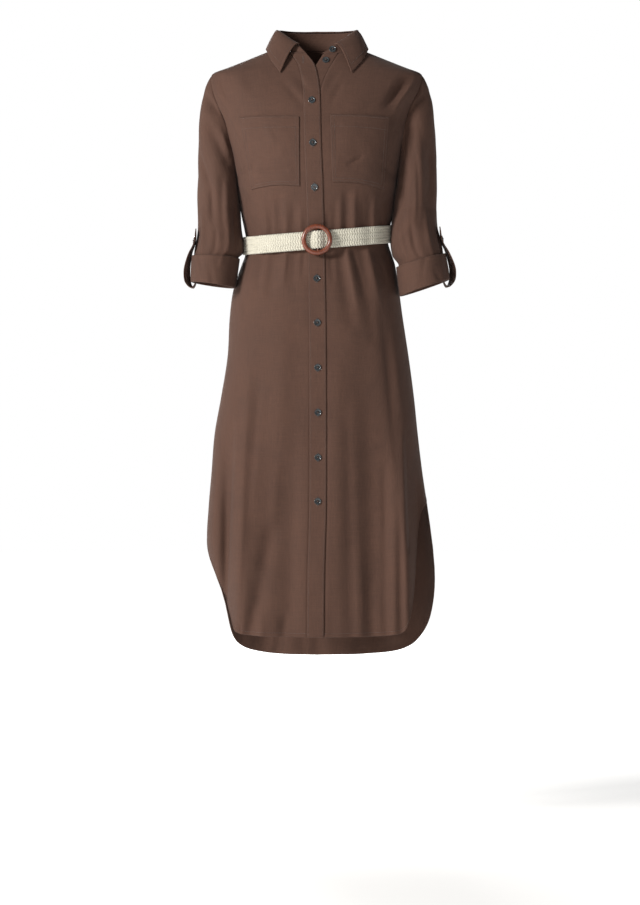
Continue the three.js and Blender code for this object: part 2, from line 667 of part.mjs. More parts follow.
function collarStand() {
  const outer = [];
  const inner = [];
  for (let i = 0; i <= STAND_STEPS; i += 1) {
    const outerRow = [];
    const innerRow = [];
    for (let k = 0; k <= STAND_ROWS; k += 1) {
      const t = k / STAND_ROWS;
      const low = roundNeck(STAND_FRONT, i, STAND_STEPS);
      const high = roundNeck(FALL_FRONT, i, STAND_STEPS);
      const seam = neckSeam(low).point;
      const point = seam.clone().add(new THREE.Vector3(0, 0, STAND_GAP)).lerp(foldLine(high), t);
      const inward = new THREE.Vector3(-point.x, -point.y, 0).normalize();
      outerRow.push(point);
      innerRow.push(point.clone().addScaledVector(inward, COLLAR_WALL));
    }
    outer.push(outerRow);
    inner.push(innerRow);
  }
  return wall(outer, inner);
}

// Lower edge of the fall, from the tip (0) to the middle of the back (1).
function fallEdge(side, t) {
  const spots = COLLAR_EDGE.map(({ face, z, ...x }) => {
    if (face === "ridge") return new THREE.Vector3(x[side], 0, z);
    return moved(bodyAt(face, x[side], z), COLLAR_LIFT);
  });
  return new THREE.CatmullRomCurve3(spots).getPoint(t);
}

const FALL_STEPS = 34;
const FALL_ROWS = 5;

function collarFall() {
  const outer = [];
  const inner = [];
  for (let i = 0; i <= FALL_STEPS; i += 1) {
    const t = mix(-1, 1, i / FALL_STEPS);
    const angle = roundNeck(FALL_FRONT, i, FALL_STEPS);
    const side = angle < 0 ? "right" : "left";
    const fold = foldLine(angle).add(new THREE.Vector3(0, 0, COLLAR_WALL + LIFT));
    const edge = fallEdge(side, 1 - Math.abs(t));
    const crown = fold.clone().lerp(edge, COLLAR_CROWN.along);
    crown.z = fold.z + COLLAR_CROWN.rise;
    const curve = new THREE.QuadraticBezierCurve3(fold, crown, edge);
    const outerRow = [];
    const innerRow = [];
    for (let k = 0; k <= FALL_ROWS; k += 1) {
      const point = curve.getPoint(k / FALL_ROWS);
      const along = curve.getTangent(k / FALL_ROWS);
      const out = new THREE.Vector3(edge.x - fold.x, edge.y - fold.y, 0).normalize();
      const tangent = new THREE.Vector3(-out.y, out.x, 0);
      const normal = along.clone().cross(tangent).normalize();
      if (normal.z < 0) normal.negate();
      outerRow.push(point.clone().addScaledVector(normal, COLLAR_WALL));
      innerRow.push(point);
    }
    outer.push(outerRow);
    inner.push(innerRow);
  }
  return wall(outer, inner);
}

// Sleeves

// A ring's point by angle: 0 outwards, 90 to the front, 180 towards the body.
function ringPoint(side, ring, degrees) {
  const angle = (degrees * Math.PI) / 180;
  const out = ring.wide * Math.cos(angle);
  return new THREE.Vector3(ring.x + signOf(side) * out,
    ring.y - ring.deep * Math.sin(angle), ring.z + ring.climb * out);
}

// The armhole seam by the same angle.
function armholePoint(side, degrees) {
  const t = Math.abs(180 - degrees) / 180;
  const { share, z } = armholeSpot(side, t);
  return bodySpot(degrees <= 180 ? "front" : "back", share, z).point;
}

// How the cloth leaves the armhole: out and up over the shoulder, and forwards.
const CAP_LEAVE = { out: 0.36, forward: 0.25, lift: 0.12 };
const CAP_GAP = 1.5 * SEAM;

function sleeveRings(side) {
  const sign = signOf(side);
  const first = ARM[side][0];
  const angles = Array.from({ length: AROUND }, (_, j) => (j * 360) / AROUND);
  const rings = [];
  for (let k = 0; k <= CAP_STEPS; k += 1) {
    const t = k / CAP_STEPS;
    rings.push(angles.map((angle) => {
      const start = armholePoint(side, angle);
      start.x += sign * CAP_GAP;
      const end = ringPoint(side, first, angle);
      const outer = (1 + Math.cos((angle * Math.PI) / 180)) / 2;
      const frontward = -Math.sin((angle * Math.PI) / 180);
      const size = start.distanceTo(end);
      const leave = new THREE.Vector3(sign * CAP_LEAVE.out * outer,
        CAP_LEAVE.forward * frontward, CAP_LEAVE.lift * outer - 1);
      leave.setLength(size);
      const arrive = new THREE.Vector3(0, 0, -size);
      const h = t * t * (3 - 2 * t);
      return start.clone().lerp(end, h)
        .addScaledVector(leave, t * (1 - t) ** 2)
        .addScaledVector(arrive, -t * t * (1 - t));
    }));
  }
  for (const ring of ARM[side].slice(1)) {
    rings.push(angles.map((angle) => ringPoint(side, ring, angle)));
  }
  return foldSleeve(side, rings, angles);
}

const FOLD_ENDS = 0.7;          // below 1 keeps a sleeve fold deep nearer to its ends

function foldSleeve(side, rings, angles) {
  return rings.map((ring, i) => {
    const middle = middleOf(ring);
    return ring.map((point, j) => {
      let height = 0;
      for (const f of FOLDS_SLEEVE[side]) {
        const t = clamp((point.z - f.z1) / (f.z2 - f.z1), 0, 1);
        const angle = mix(f.a1, f.a2, t);
        const turn = ((angles[j] - angle + 540) % 360) - 180;
        const along = Math.sin(Math.PI * t) ** FOLD_ENDS;
        height += f.height * along * Math.exp(-((turn / f.width) ** 2));
      }
      const out = point.clone().sub(middle).setZ(0).normalize();
      return i === 0 ? point : point.clone().addScaledVector(out, height);
    });
  });
}

function middleOf(ring) {
  const middle = new THREE.Vector3();
  ring.forEach((p) => middle.add(p));
  return middle.divideScalar(ring.length);
}

function sleeve(side) {
  const outer = sleeveRings(side);
  const sign = signOf(side);
  const inner = outer.map((ring, i) => {
    const middle = middleOf(ring);
    return ring.map((point, j) => {
      const step = gridNormal(outer, i, j, middle).multiplyScalar(-CLOTH);
      if (i === 0 && step.x * sign < 0) step.x = 0;
      return point.clone().add(step);
    });
  });
  return wall(outer, inner, true);
}

// Turned-up cuff: a thick soft roll, closed on itself round its section.
const CUFF_BULGE = 0.6;

function cuff(side) {
  const { top, low } = CUFF[side];
  const half = CUFF_WALL / 2;
  const section = [
    { t: 0.03, out: -half }, { t: -0.01, out: 0 }, { t: 0.04, out: half },
    { t: 0.5, out: half + CUFF_BULGE }, { t: 0.96, out: half },
    { t: 1.01, out: 0 }, { t: 0.96, out: -half }, { t: 0.5, out: -half },
  ];
  const points = [];
  for (let j = 0; j < AROUND; j += 1) {
    for (const { t, out } of section) {
      const ring = {};
      for (const key of Object.keys(top)) ring[key] = mix(top[key], low[key], t);
      ring.wide += out - half;
      ring.deep += out - half;
      points.push(ringPoint(side, ring, (j * 360) / AROUND));
    }
  }
  const size = section.length;
  const triangles = [];
  for (let j = 0; j < AROUND; j += 1) {
    for (let k = 0; k < size; k += 1) {
      const next = (j + 1) % AROUND;
      const [a, b] = [j * size + k, next * size + k];
      const [c, d] = [next * size + ((k + 1) % size), j * size + ((k + 1) % size)];
      triangles.push([a, b, c], [a, c, d]);
    }
  }
  return closedBody(points, triangles);
}

// Tabs

const TAB_STEPS = 18;
const TAB_POINT = { width: 0.25, growth: 9 };  // the tip starts narrow and soon widens

function tabLine(side) {
  const sign = signOf(side);
  const { y, line } = TAB[side];
  return new THREE.CatmullRomCurve3(line.map(({ out, z }) => new THREE.Vector3(sign * out, y, z)));
}

function tab(side) {
  const curve = tabLine(side);
  const sign = signOf(side);
  const outer = [];
  const inner = [];
  for (let i = 0; i <= TAB_STEPS; i += 1) {
    const t = i / TAB_STEPS;
    const along = curve.getTangent(t);
    const normal = new THREE.Vector3(-along.z * sign, 0, along.x * sign);
    const point = curve.getPoint(t);
    const half = (TAB_WIDTH / 2) * Math.min(1, TAB_POINT.width + TAB_POINT.growth * t);
    const row = [-half, 0, half].map((w) => point.clone().add(new THREE.Vector3(0, w, 0)));
    outer.push(row.map((p) => p.clone().addScaledVector(normal, TAB_WALL / 2)));
    inner.push(row.map((p) => p.clone().addScaledVector(normal, -TAB_WALL / 2)));
  }
  return wall(outer, inner);
}

// Buttons: a dished disc with a raised rim, turned on a lathe.
function buttonGeometry() {
  const r = BUTTON_RADIUS;
  const profile = [
    [0, 0], [r * 0.85, 0], [r, BUTTON_THICK * 0.6], [r * 0.85, BUTTON_THICK],
    [r * 0.6, BUTTON_THICK - BUTTON_DISH], [0, BUTTON_THICK - BUTTON_DISH],
  ].map(([x, y]) => new THREE.Vector2(x, y));
  return new THREE.LatheGeometry(profile, 12);
}

// Belt

const BELT_TURN_STEPS = 46;
const BELT_OVER_STEPS = 44;
const BELT_OVER_START = 3.55; // quarter turns, just before the buckle on the wearer's left
const BELT_FIXED_END = 12;    // the fixed end, beside the buckle's bar

// Out from the cloth to the belt's inner side, over the front part that has the buckle.
const BELT_OVER = [
  { x: -200, out: 7.3 },
  { x: -26, out: 7.3 },
  { x: -12.5, out: 7.2 },
  { x: -6, out: 11.4 },
  { x: 0, out: 13.2 },
  { x: 6, out: 11.4 },
  { x: 12.5, out: 6.8 },
  { x: 26, out: 4.4 },
  { x: 50, out: BELT_CLEAR },
  { x: 200, out: BELT_CLEAR },
];

const beltZ = (x, y) => BELT_Z + BELT_RISE_X * x + BELT_RISE_Y * y;

// A place on the belt's route, by quarter turns from the front towards the right.
function beltSpot(quarters, layerOut) {
  const turn = quarters % 4;
  let face = "front";
  let share = -turn;
  if (turn > 1 && turn <= 3) {
    face = "back";
    share = turn - 2;
  } else if (turn > 3) {
    share = 4 - turn;
  }
  let spot = bodySpot(face, share, BELT_Z);
  for (let k = 0; k < 4; k += 1) {
    spot = bodySpot(face, share, beltZ(spot.point.x, spot.point.y));
  }
  const flat = spot.normal.clone().setZ(0).normalize();
  const over = quarters > 3 ? read(BELT_OVER, "x", "out", spot.point.x) : layerOut;
  return spot.point.clone().addScaledVector(flat, over);
}

function belt() {
  const start = Math.abs(shareAt(-BELT_FIXED_END, BELT_Z));
  const stop = 4 + Math.abs(shareAt(-TAIL_REACH, BELT_Z));
  const line = [];
  for (let i = 0; i <= BELT_TURN_STEPS; i += 1) {
    line.push(beltSpot(mix(start, BELT_OVER_START, i / BELT_TURN_STEPS), BELT_CLEAR));
  }
  for (let i = 1; i <= BELT_OVER_STEPS; i += 1) {
    line.push(beltSpot(mix(BELT_OVER_START, stop, i / BELT_OVER_STEPS), BELT_CLEAR));
  }
  const sides = [[0, -1], [0, 1], [1, 1], [1, -1]];
  const points = [];
  line.forEach((point, i) => {
    const before = line[Math.max(0, i - 1)];
    const after = line[Math.min(line.length - 1, i + 1)];
    const along = after.clone().sub(before).setZ(0).normalize();
    const out = new THREE.Vector3(along.y, -along.x, 0).negate();
    sides.forEach(([thick, high]) => {
      const p = point.clone().addScaledVector(out, thick * BELT_THICK);
      points.push(p.add(new THREE.Vector3(0, 0, (high * BELT_HEIGHT) / 2)));
    });
  });
  const n = sides.length;
  const triangles = [];
  for (let i = 0; i < line.length - 1; i += 1) {
    for (let k = 0; k < n; k += 1) {
      const [a, b] = [i * n + k, i * n + ((k + 1) % n)];
      triangles.push([a, b, b + n], [a, b + n, a + n]);
    }
  }
  const end = (line.length - 1) * n;
  for (let k = 1; k < n - 1; k += 1) {
    triangles.push([0, k + 1, k], [end, end + k, end + k + 1]);
  }
  return closedBody(points, triangles);
}

// Ring buckle with its bar, joined to one solid.
async function buckle() {
  const wasm = await Module();
  wasm.setup();
  const profile = [];
  const roundSteps = 8;
  for (let k = 0; k <= roundSteps; k += 1) {
    const angle = (k * 2 * Math.PI) / roundSteps;
    profile.push(new THREE.Vector2(RING_RADIUS + RING_TUBE * Math.cos(angle),
      RING_TUBE * Math.sin(angle)));
  }
  const ring = new THREE.LatheGeometry(profile, 28);
  const bar = new THREE.CylinderGeometry(BAR_RADIUS, BAR_RADIUS, 2 * RING_RADIUS, 12);
  bar.rotateX(Math.PI / 2);
  bar.translate(0, BAR_OUT - RING_OUT, 0);
  const solid = toManifold(wasm, ring).add(toManifold(wasm, bar));
  const mesh = solid.getMesh();
  const geometry = new THREE.BufferGeometry();
  geometry.setAttribute("position", new THREE.BufferAttribute(mesh.vertProperties.slice(), 3));
  geometry.setIndex([...mesh.triVerts]);
  return geometry;
}

function toManifold(wasm, source) {
  const bare = source.clone();
  bare.deleteAttribute("normal");
  bare.deleteAttribute("uv");
  const merged = mergeVertices(bare, 1e-4);
  const solid = new wasm.Manifold(new wasm.Mesh({
    numProp: 3,
    vertProperties: new Float32Array(merged.attributes.position.array),
    triVerts: new Uint32Array(merged.index.array),
  }));
  return solid;
}

// Assembly

const finishes = {
  linen: { color: 0x6d5045, roughness: 0.85, metalness: 0 },
  button: { color: 0x34393c, roughness: 0.25, metalness: 0 },
  braid: { color: 0xe0d9c4, roughness: 0.8, metalness: 0 },
  wood: { color: 0x8f4a30, roughness: 0.45, metalness: 0 },
};

const dress = new THREE.Group();

function addMesh(name, geometry, finish) {
  const mesh = new THREE.Mesh(geometry, new THREE.MeshStandardMaterial(finishes[finish]));
  mesh.name = name;
  dress.add(mesh);
  return mesh;
}

// Gap behind a button's flat back, more where the cloth under it is curved.
const BUTTON_GAP = { upper: 0.6, under: 0.6, stand: 0.75, tab: 0.9 };

// A button seated on a spot, its flat back towards the cloth.
function addButton(name, point, normal) {
  const mesh = addMesh(name, buttonGeometry(), "button");
  mesh.quaternion.setFromUnitVectors(new THREE.Vector3(0, 1, 0), normal);
  mesh.position.copy(point);
}

function addPanels() {
  for (const side of ["right", "left"]) {
    addMesh(`${side}_front`, layer(halfPanel("front", side), -CLOTH, 0), "linen");
  }
  const right = halfPanel("back", "right");
  const left = halfPanel("back", "left");
  const rows = right.map((row, i) => [...row.slice(1).reverse(), ...left[i]]);
  addMesh("back", layer(rows, -CLOTH, 0), "linen");
  const half = BAND_WIDTH / 2;
  addMesh("button_band", band("under", UNDER_TUCK - half, half, -CLOTH, 0), "linen");
  addMesh("buttonhole_band", band("upper", -half, half, LIFT, LIFT + CLOTH), "linen");
  for (const place of POCKETS) addMesh(place.name, pocket(place), "linen");
}

function addSleeves() {
  for (const side of ["right", "left"]) {
    addMesh(`sleeve_${side}`, sleeve(side), "linen");
    addMesh(`cuff_${side}`, cuff(side), "linen");
    addMesh(`tab_${side}`, tab(side), "linen");
    addTabButton(side);
  }
}

const SEARCH_STEPS = 400;

function addTabButton(side) {
  const curve = tabLine(side);
  let best = 0;
  for (let k = 0; k <= SEARCH_STEPS / 2; k += 1) {
    const t = k / SEARCH_STEPS;
    if (Math.abs(curve.getPoint(t).z - TAB[side].buttonZ)
      < Math.abs(curve.getPoint(best).z - TAB[side].buttonZ)) best = t;
  }
  const along = curve.getTangent(best);
  const normal = new THREE.Vector3(-along.z, 0, along.x).multiplyScalar(signOf(side));
  const base = curve.getPoint(best).addScaledVector(normal, TAB_WALL / 2 + BUTTON_GAP.tab);
  addButton(`tab_button_${side}`, base, normal);
}

function addButtons() {
  BUTTONS.forEach(({ z, band: place }, i) => {
    const name = `button_${String(i + 1).padStart(2, "0")}`;
    const line = place === "under" ? "under" : "upper";
    let spot = bodyAt("front", read(FRONT_LINE, "z", line, z), z);
    if (place === "stand") spot = standButtonSpot();
    const lift = BUTTON_GAP[place] + (place === "upper" ? LIFT + CLOTH : 0);
    addButton(name, moved(spot, lift), spot.normal);
  });
}

// The stand's own button sits near the stand's end on the wearer's left.
const STAND_BUTTON = { angle: 18, spread: 4 };

function standButtonSpot() {
  const { angle, spread } = STAND_BUTTON;
  const seam = neckSeam(angle).point;
  const fold = foldLine(FALL_FRONT.left);
  const around = neckSeam(angle + spread).point.sub(neckSeam(angle - spread).point);
  const normal = fold.clone().sub(seam).cross(around).normalize();
  if (normal.y > 0) normal.negate();
  return { point: seam.lerp(fold, 0.5), normal };
}

async function addBelt() {
  addMesh("belt", belt(), "braid");
  const spot = bodyAt("front", 0, beltZ(0, -read(BODY, "z", "front", BELT_Z)));
  const ring = addMesh("belt_buckle", await buckle(), "wood");
  ring.rotation.y = -Math.atan(BELT_RISE_X);
  ring.position.set(0, spot.point.y - RING_OUT, spot.point.z);
}

addPanels();
addMesh("collar_stand", collarStand(), "linen");
addMesh("collar_fall", collarFall(), "linen");
addSleeves();
addButtons();
await addBelt();

export default dress;
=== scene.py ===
"""A linen shirt dress in its worn form, with rolled sleeves and a braided ring belt.

Every table and size here is in millimetres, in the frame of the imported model:
+Z up, the front of the dress faces -Y, the wearer's right side is -X.
"""
import math

import bpy
import numpy as np
from mathutils import Matrix, Vector


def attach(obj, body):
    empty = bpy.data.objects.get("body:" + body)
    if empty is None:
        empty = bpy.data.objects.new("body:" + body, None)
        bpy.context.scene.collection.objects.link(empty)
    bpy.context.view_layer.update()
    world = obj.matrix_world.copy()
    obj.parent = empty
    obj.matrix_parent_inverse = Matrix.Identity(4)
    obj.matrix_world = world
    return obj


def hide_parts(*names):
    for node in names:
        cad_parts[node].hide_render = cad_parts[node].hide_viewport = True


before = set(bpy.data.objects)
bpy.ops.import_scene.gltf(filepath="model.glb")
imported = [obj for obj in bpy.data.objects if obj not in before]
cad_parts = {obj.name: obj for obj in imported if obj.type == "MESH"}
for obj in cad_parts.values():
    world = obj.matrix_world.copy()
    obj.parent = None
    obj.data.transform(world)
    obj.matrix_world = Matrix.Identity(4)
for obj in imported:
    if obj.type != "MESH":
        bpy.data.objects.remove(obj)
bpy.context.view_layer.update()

bl_info = {
    "name": "Shirt Dress",
    "version": (1, 0, 0),
    "blender": (4, 5, 0),
    "location": "View3D > Sidebar > Dress",
    "description": "Builds a linen shirt dress with a braided belt around its packed solids",
    "category": "Add Mesh",
}

MM = 0.001

# Cloth and make
CLOTH = 1.2             # one layer with its turnings
SEAM = 0.3              # gap between pieces at a seam
LIFT = 0.6              # gap under a piece that lies on a panel
COLLAR_WALL = 1.8
NECK_POINT_X = 78
FRONT_NECK_DROP = 16
BACK_NECK_RISE = 6
SHOULDER_TIP_Z = -47
UNDERARM = -252
WAIST_LOW = -449
FRONT_HEM = -1090
BAND_WIDTH = 30
BAND_TUCK = 1.5
UNDER_TUCK = 3
BUTTON_RADIUS = 6.3
BUTTON_THICK = 2.8

BELT_HEIGHT = 32
BELT_THICK = 3.5
BELT_CLEAR = 3.4
BELT_Z = -356
BELT_RISE_X = 0.085
BELT_RISE_Y = 0.08
TAIL_REACH = 105
BELT_FIXED_END = 12
RING_RADIUS = 24.2
RING_TUBE = 4.3
RING_OUT = 15.6
BAR_OUT = 10.9
BAR_RADIUS = 2

CUFF_WALL = 4
TAB_WIDTH = 24
TAB_WALL = 1.6


def columns(names, *rows):
    """A table by column: each name gives an array with one value for each row."""
    values = np.array(rows, float)
    return {name: values[:, i] for i, name in enumerate(names.split())}


BODY = columns(
    "z right left front back square",
    (6, 60, 60, 50, 60, 2.2),
    (0, 78, 78, 54, 62, 2.2),
    (-12, 108, 108, 58, 66, 2.2),
    (-24, 138, 138, 63, 71, 2.2),
    (-36, 168, 168, 69, 77, 2.25),
    (-47, 196, 196, 75, 83, 2.3),
    (-62, 205, 203, 84, 90, 2.3),
    (-84, 206, 199, 95, 97, 2.35),
    (-106, 197, 188, 105, 103, 2.4),
    (-140, 181, 173, 116, 108, 2.4),
    (-166, 173, 167, 122, 109, 2.4),
    (-204, 160, 158, 125, 107, 2.4),
    (-230, 154, 153, 124, 104, 2.4),
    (-252, 150, 149, 121, 101, 2.4),
    (-280, 146, 145.5, 115, 96, 2.35),
    (-309, 141.5, 142, 108, 93, 2.3),
    (-338, 135.5, 135, 101, 90, 2.3),
    (-360, 132, 132.5, 99, 88, 2.3),
    (-386, 134.5, 140.5, 100, 89, 2.3),
    (-404, 141, 146, 105, 96, 2.35),
    (-449, 156, 153, 112, 105, 2.4),
    (-501, 163, 160, 116, 110, 2.5),
    (-574, 167, 171, 119, 114, 2.6),
    (-650, 179, 181, 120, 117, 2.7),
    (-718, 191, 188, 121, 118, 2.8),
    (-793, 197, 197, 122, 120, 2.9),
    (-853, 202, 206, 123, 122, 3),
    (-919, 205, 216, 124, 123, 3),
    (-976, 196, 222, 124, 124, 3),
    (-1030, 180, 223, 124, 124, 3),
    (-1140, 166, 214, 124, 124, 3),
)

ARMHOLE = columns(
    "z right left",
    (-47, 196, 196),
    (-62, 196.5, 194),
    (-84, 193, 187),
    (-106, 185, 175),
    (-140, 170.5, 164),
    (-166, 164, 159),
    (-204, 155, 154),
    (-230, 151.5, 150.5),
    (-252, 150, 149),
)

FRONT_LINE = columns(
    "z upper under",
    (-8, -41, 33),
    (-17, -35, 24),
    (-28, -26, 17),
    (-39, -19.5, 10.5),
    (-60, -14, 0.5),
    (-82, -10.8, -7),
    (-104, -9.5, -9.5),
    (-180, -8, -8),
    (-270, -4.5, -4.5),
    (-430, -0.5, -0.5),
    (-600, 1.5, 1.5),
    (-850, 1.5, 1.5),
    (-960, -1.5, -1.5),
    (-1090, -3, -3),
)

HEM_FRONT = columns(
    "share right left",
    (0, -1090, -1090),
    (0.3, -1089, -1089),
    (0.45, -1088, -1086),
    (0.525, -1087, -1078),
    (0.565, -1086, -1050),
    (0.6, -1085, -985),
    (0.64, -1083, -925),
    (0.69, -1076, -886),
    (0.735, -1040, -868),
    (0.77, -1000, -860),
    (0.83, -970, -852),
    (0.92, -940, -845),
    (1, -915, -842),
)

HEM_BACK = columns(
    "share right left",
    (0, -1140, -1140),
    (0.3, -1137, -1137),
    (0.5, -1130, -1130),
    (0.64, -1120, -1116),
    (0.74, -1106, -1095),
    (0.8, -1084, -1078),
    (0.84, -1042, -1062),
    (0.87, -1000, -1044),
    (0.9, -972, -1020),
    (0.95, -942, -965),
    (1, -915, -842),
)

FOLDS_FRONT = columns(
    "x1 z1 x2 z2 width height begin end",
    (163, -66, 125, -124, 9, -5, 0.6, 0),
    (176, -84, 142, -130, 8, 3, 0.3, 0),
    (-42, -58, -8, -100, 7, -1.6, 0.5, 0),
    (38, -56, 14, -92, 7, -1.6, 0.5, 0),
    (-124, -262, -118, -345, 9, -3.5, 0, 1),
    (-70, -268, -68, -350, 8, -2.5, 0, 1),
    (-42, -285, -43, -350, 7, -2, 0, 1),
    (33, -290, 31, -350, 7, -2, 0, 1),
    (55, -262, 53, -350, 8, -3, 0, 1),
    (95, -275, 91, -350, 8, -3, 0, 1),
    (-78, -385, -88, -485, 10, -3.5, 1, 0),
    (-40, -385, -45, -460, 9, -2.5, 1, 0),
    (40, -385, 64, -530, 11, -4, 1, 0),
    (79, -385, 106, -560, 12, -4.5, 1, 0),
    (112, -385, 132, -470, 10, -3.5, 1, 0),
    (-84, -880, -95, -955, 13, -6, 0, 0.8),
    (-95, -955, -120, -1085, 14, -8, 0.3, 1),
    (84, -540, 100, -1095, 22, -7, 0.2, 1),
    (138, -840, 140, -1085, 13, 4, 0, 1),
    (-140, -700, -146, -1085, 12, 9, 0, 1),
    (-168, -700, -164, -1060, 12, -9, 0, 0.8),
    (156, -690, 166, -1080, 12, 9, 0, 1),
    (184, -690, 192, -1060, 13, -12, 0, 1),
)

FOLDS_BACK = columns(
    "x1 z1 x2 z2 width height begin end",
    (-96, -90, -70, -190, 16, -3, 0, 0),
    (92, -96, 74, -205, 16, -3, 0, 0),
    (-112, -255, -104, -345, 9, -3, 0, 1),
    (-66, -240, -62, -345, 9, -3, 0, 1),
    (-18, -262, -20, -345, 9, -2.5, 0, 1),
    (30, -248, 26, -345, 9, -3, 0, 1),
    (84, -256, 78, -345, 9, -3, 0, 1),
    (-88, -372, -104, -520, 12, -4, 1, 0),
    (-38, -372, -46, -480, 10, -3.5, 1, 0),
    (12, -372, 14, -500, 11, -4, 1, 0),
    (58, -372, 72, -540, 12, -4, 1, 0),
    (104, -372, 122, -480, 10, -3.5, 1, 0),
    (-112, -640, -134, -1110, 22, -8, 0, 1),
    (-34, -600, -48, -1130, 24, -8, 0, 1),
    (52, -660, 66, -1130, 22, -8, 0, 1),
    (128, -620, 150, -1100, 20, -7, 0, 1),
)

# Finer creases, laid over the folds of the solids. A row is a line on the
# cloth seen from the front, the width of its valley or ridge, its height, how much
# is left at each end, and how much steeper one flank is than the other.
CREASES_FRONT = columns(
    "x1 z1 x2 z2 width height begin end skew",
    (-62, -70, -16, -128, 6, -1.6, 0.2, 0, 0.3),
    (-30, -62, -22, -92, 4, -1, 0.4, 0, 0.2),
    (48, -66, 22, -120, 5, -1.4, 0.3, 0, -0.3),
    (-176, -62, -150, -120, 9, -2.4, 0.5, 0, 0.3),
    (-150, -52, -128, -100, 10, 1.4, 0.3, 0, 0),
    (162, -60, 120, -124, 8, -4.6, 0.5, 0, -0.3),
    (176, -74, 136, -124, 6.5, 4, 0.4, 0, 0),
    (170, -110, 150, -170, 8, -2.2, 0.7, 0, 0.2),
    (160, -150, 138, -190, 7, 1.6, 0.4, 0, 0),
    (-168, -130, -148, -196, 9, -2.4, 0.6, 0, 0.3),
    (-150, -168, -118, -236, 10, 1.8, 0.2, 0, 0),
    (148, -244, 112, -222, 9, -2.6, 0.8, 0, 0.3),
    (147, -252, 100, -262, 8, 2, 0.6, 0, 0),
    (-148, -246, -108, -228, 9, -2.6, 0.8, 0, 0.3),
    (-148, -254, -100, -282, 8, 2, 0.6, 0, 0),
    (-141, -270, -112, -312, 8, -2.4, 0.6, 0, 0.4),
    (141, -272, 104, -318, 8, -2.4, 0.6, 0, -0.4),
    (-100, -276, -94, -348, 5, 1.8, 0, 1, 0),
    (-84, -300, -82, -348, 4, -1.4, 0, 1, 0.3),
    (-58, -292, -57, -348, 4.5, 1.4, 0, 1, 0),
    (-30, -300, -30, -348, 4, 1.2, 0, 1, 0),
    (20, -305, 20, -348, 4, -1.2, 0, 1, 0),
    (44, -276, 42, -348, 5, 1.6, 0, 1, 0),
    (70, -268, 69, -348, 5.5, 2.4, 0, 1, 0.3),
    (84, -286, 82, -348, 4, -1.6, 0, 1, 0),
    (108, -280, 104, -348, 5, 1.8, 0, 1, 0),
    (120, -300, 117, -348, 5, -1.8, 0, 1, 0),
    (-24, -384, -26, -440, 5, -1.6, 1, 0, 0),
    (-56, -384, -62, -452, 5, 1.8, 1, 0, 0.3),
    (-98, -384, -112, -470, 6, -2.2, 1, 0, 0.3),
    (-116, -384, -132, -440, 6, 2, 1, 0, 0),
    (24, -384, 30, -450, 5, -1.8, 1, 0, 0),
    (54, -384, 76, -500, 6, 2.4, 1, 0, -0.3),
    (66, -384, 88, -470, 4.5, -1.6, 1, 0, 0),
    (96, -384, 122, -500, 6, 2.2, 1, 0, 0.3),
    (124, -384, 144, -440, 6, -2, 1, 0, 0),
    (-122, -520, -136, -760, 18, 2.4, 0, 0, 0.2),
    (-60, -500, -74, -860, 20, 2.2, 0, 0.3, 0),
    (-104, -600, -128, -880, 12, -2.4, 0, 0.2, 0.4),
    (-38, -700, -48, -1080, 13, -2.4, 0, 0.8, 0.3),
    (-72, -760, -80, -900, 9, 1.8, 0, 0, 0),
    (-134, -900, -142, -1080, 9, -2.6, 0, 0.8, 0.3),
    (-55, -1042, -61, -1088, 8, -3.2, 0, 1, 0.3),
    (-104, -1030, -104, -1088, 8, 2.6, 0, 1, 0),
    (34, -560, 48, -1000, 18, 2.2, 0, 0.2, 0),
    (52, -640, 66, -1086, 13, -3, 0, 0.9, 0.4),
    (118, -470, 150, -800, 13, -3, 0.2, 0, -0.4),
    (140, -520, 158, -720, 10, 2.2, 0, 0, 0),
    (122, -760, 128, -1080, 8, -3.2, 0, 1, -0.4),
    (152, -860, 155, -1078, 7, -3, 0, 1, 0.3),
    (76, -900, 80, -1090, 9, 2.2, 0, 1, 0),
    (108, -980, 114, -1090, 7, 2, 0, 1, 0),
    (28, -1010, 27, -1092, 8, -1.8, 0, 1, 0),
    (-188, -760, -196, -930, 8, 2.4, 0, 0.4, 0),
    (200, -740, 206, -900, 8, 2.4, 0, 0.4, 0),
    (-118, -206, -86, -214, 4, -1.2, 0, 0, 0.2),
    (-118, -237, -48, -236, 3.6, -2.4, 0, 0, 0.4),
    (52, -228, 86, -210, 4, -2.2, 0, 0, 0.4),
    (-96, -150, -74, -196, 7, 1, 0, 0, 0),
    (-70, -700, -54, -1088, 32, -5, 0, 1, 0),
    (114, -560, 114, -1088, 34, -8, 0, 1, 0),
    (60, -560, 62, -1088, 14, -1.5, 0, 1, 0),
    (-126, -640, -138, -1060, 16, 5, 0.2, 0.8, -0.4),
    (-153, -700, -168, -1050, 9, -8, 0.2, 0.6, 0.6),
    (164, -720, 170, -930, 11, -7, 0.2, 0.4, -0.6),
    (140, -700, 142, -1080, 12, 3, 0.2, 0.8, 0),
)
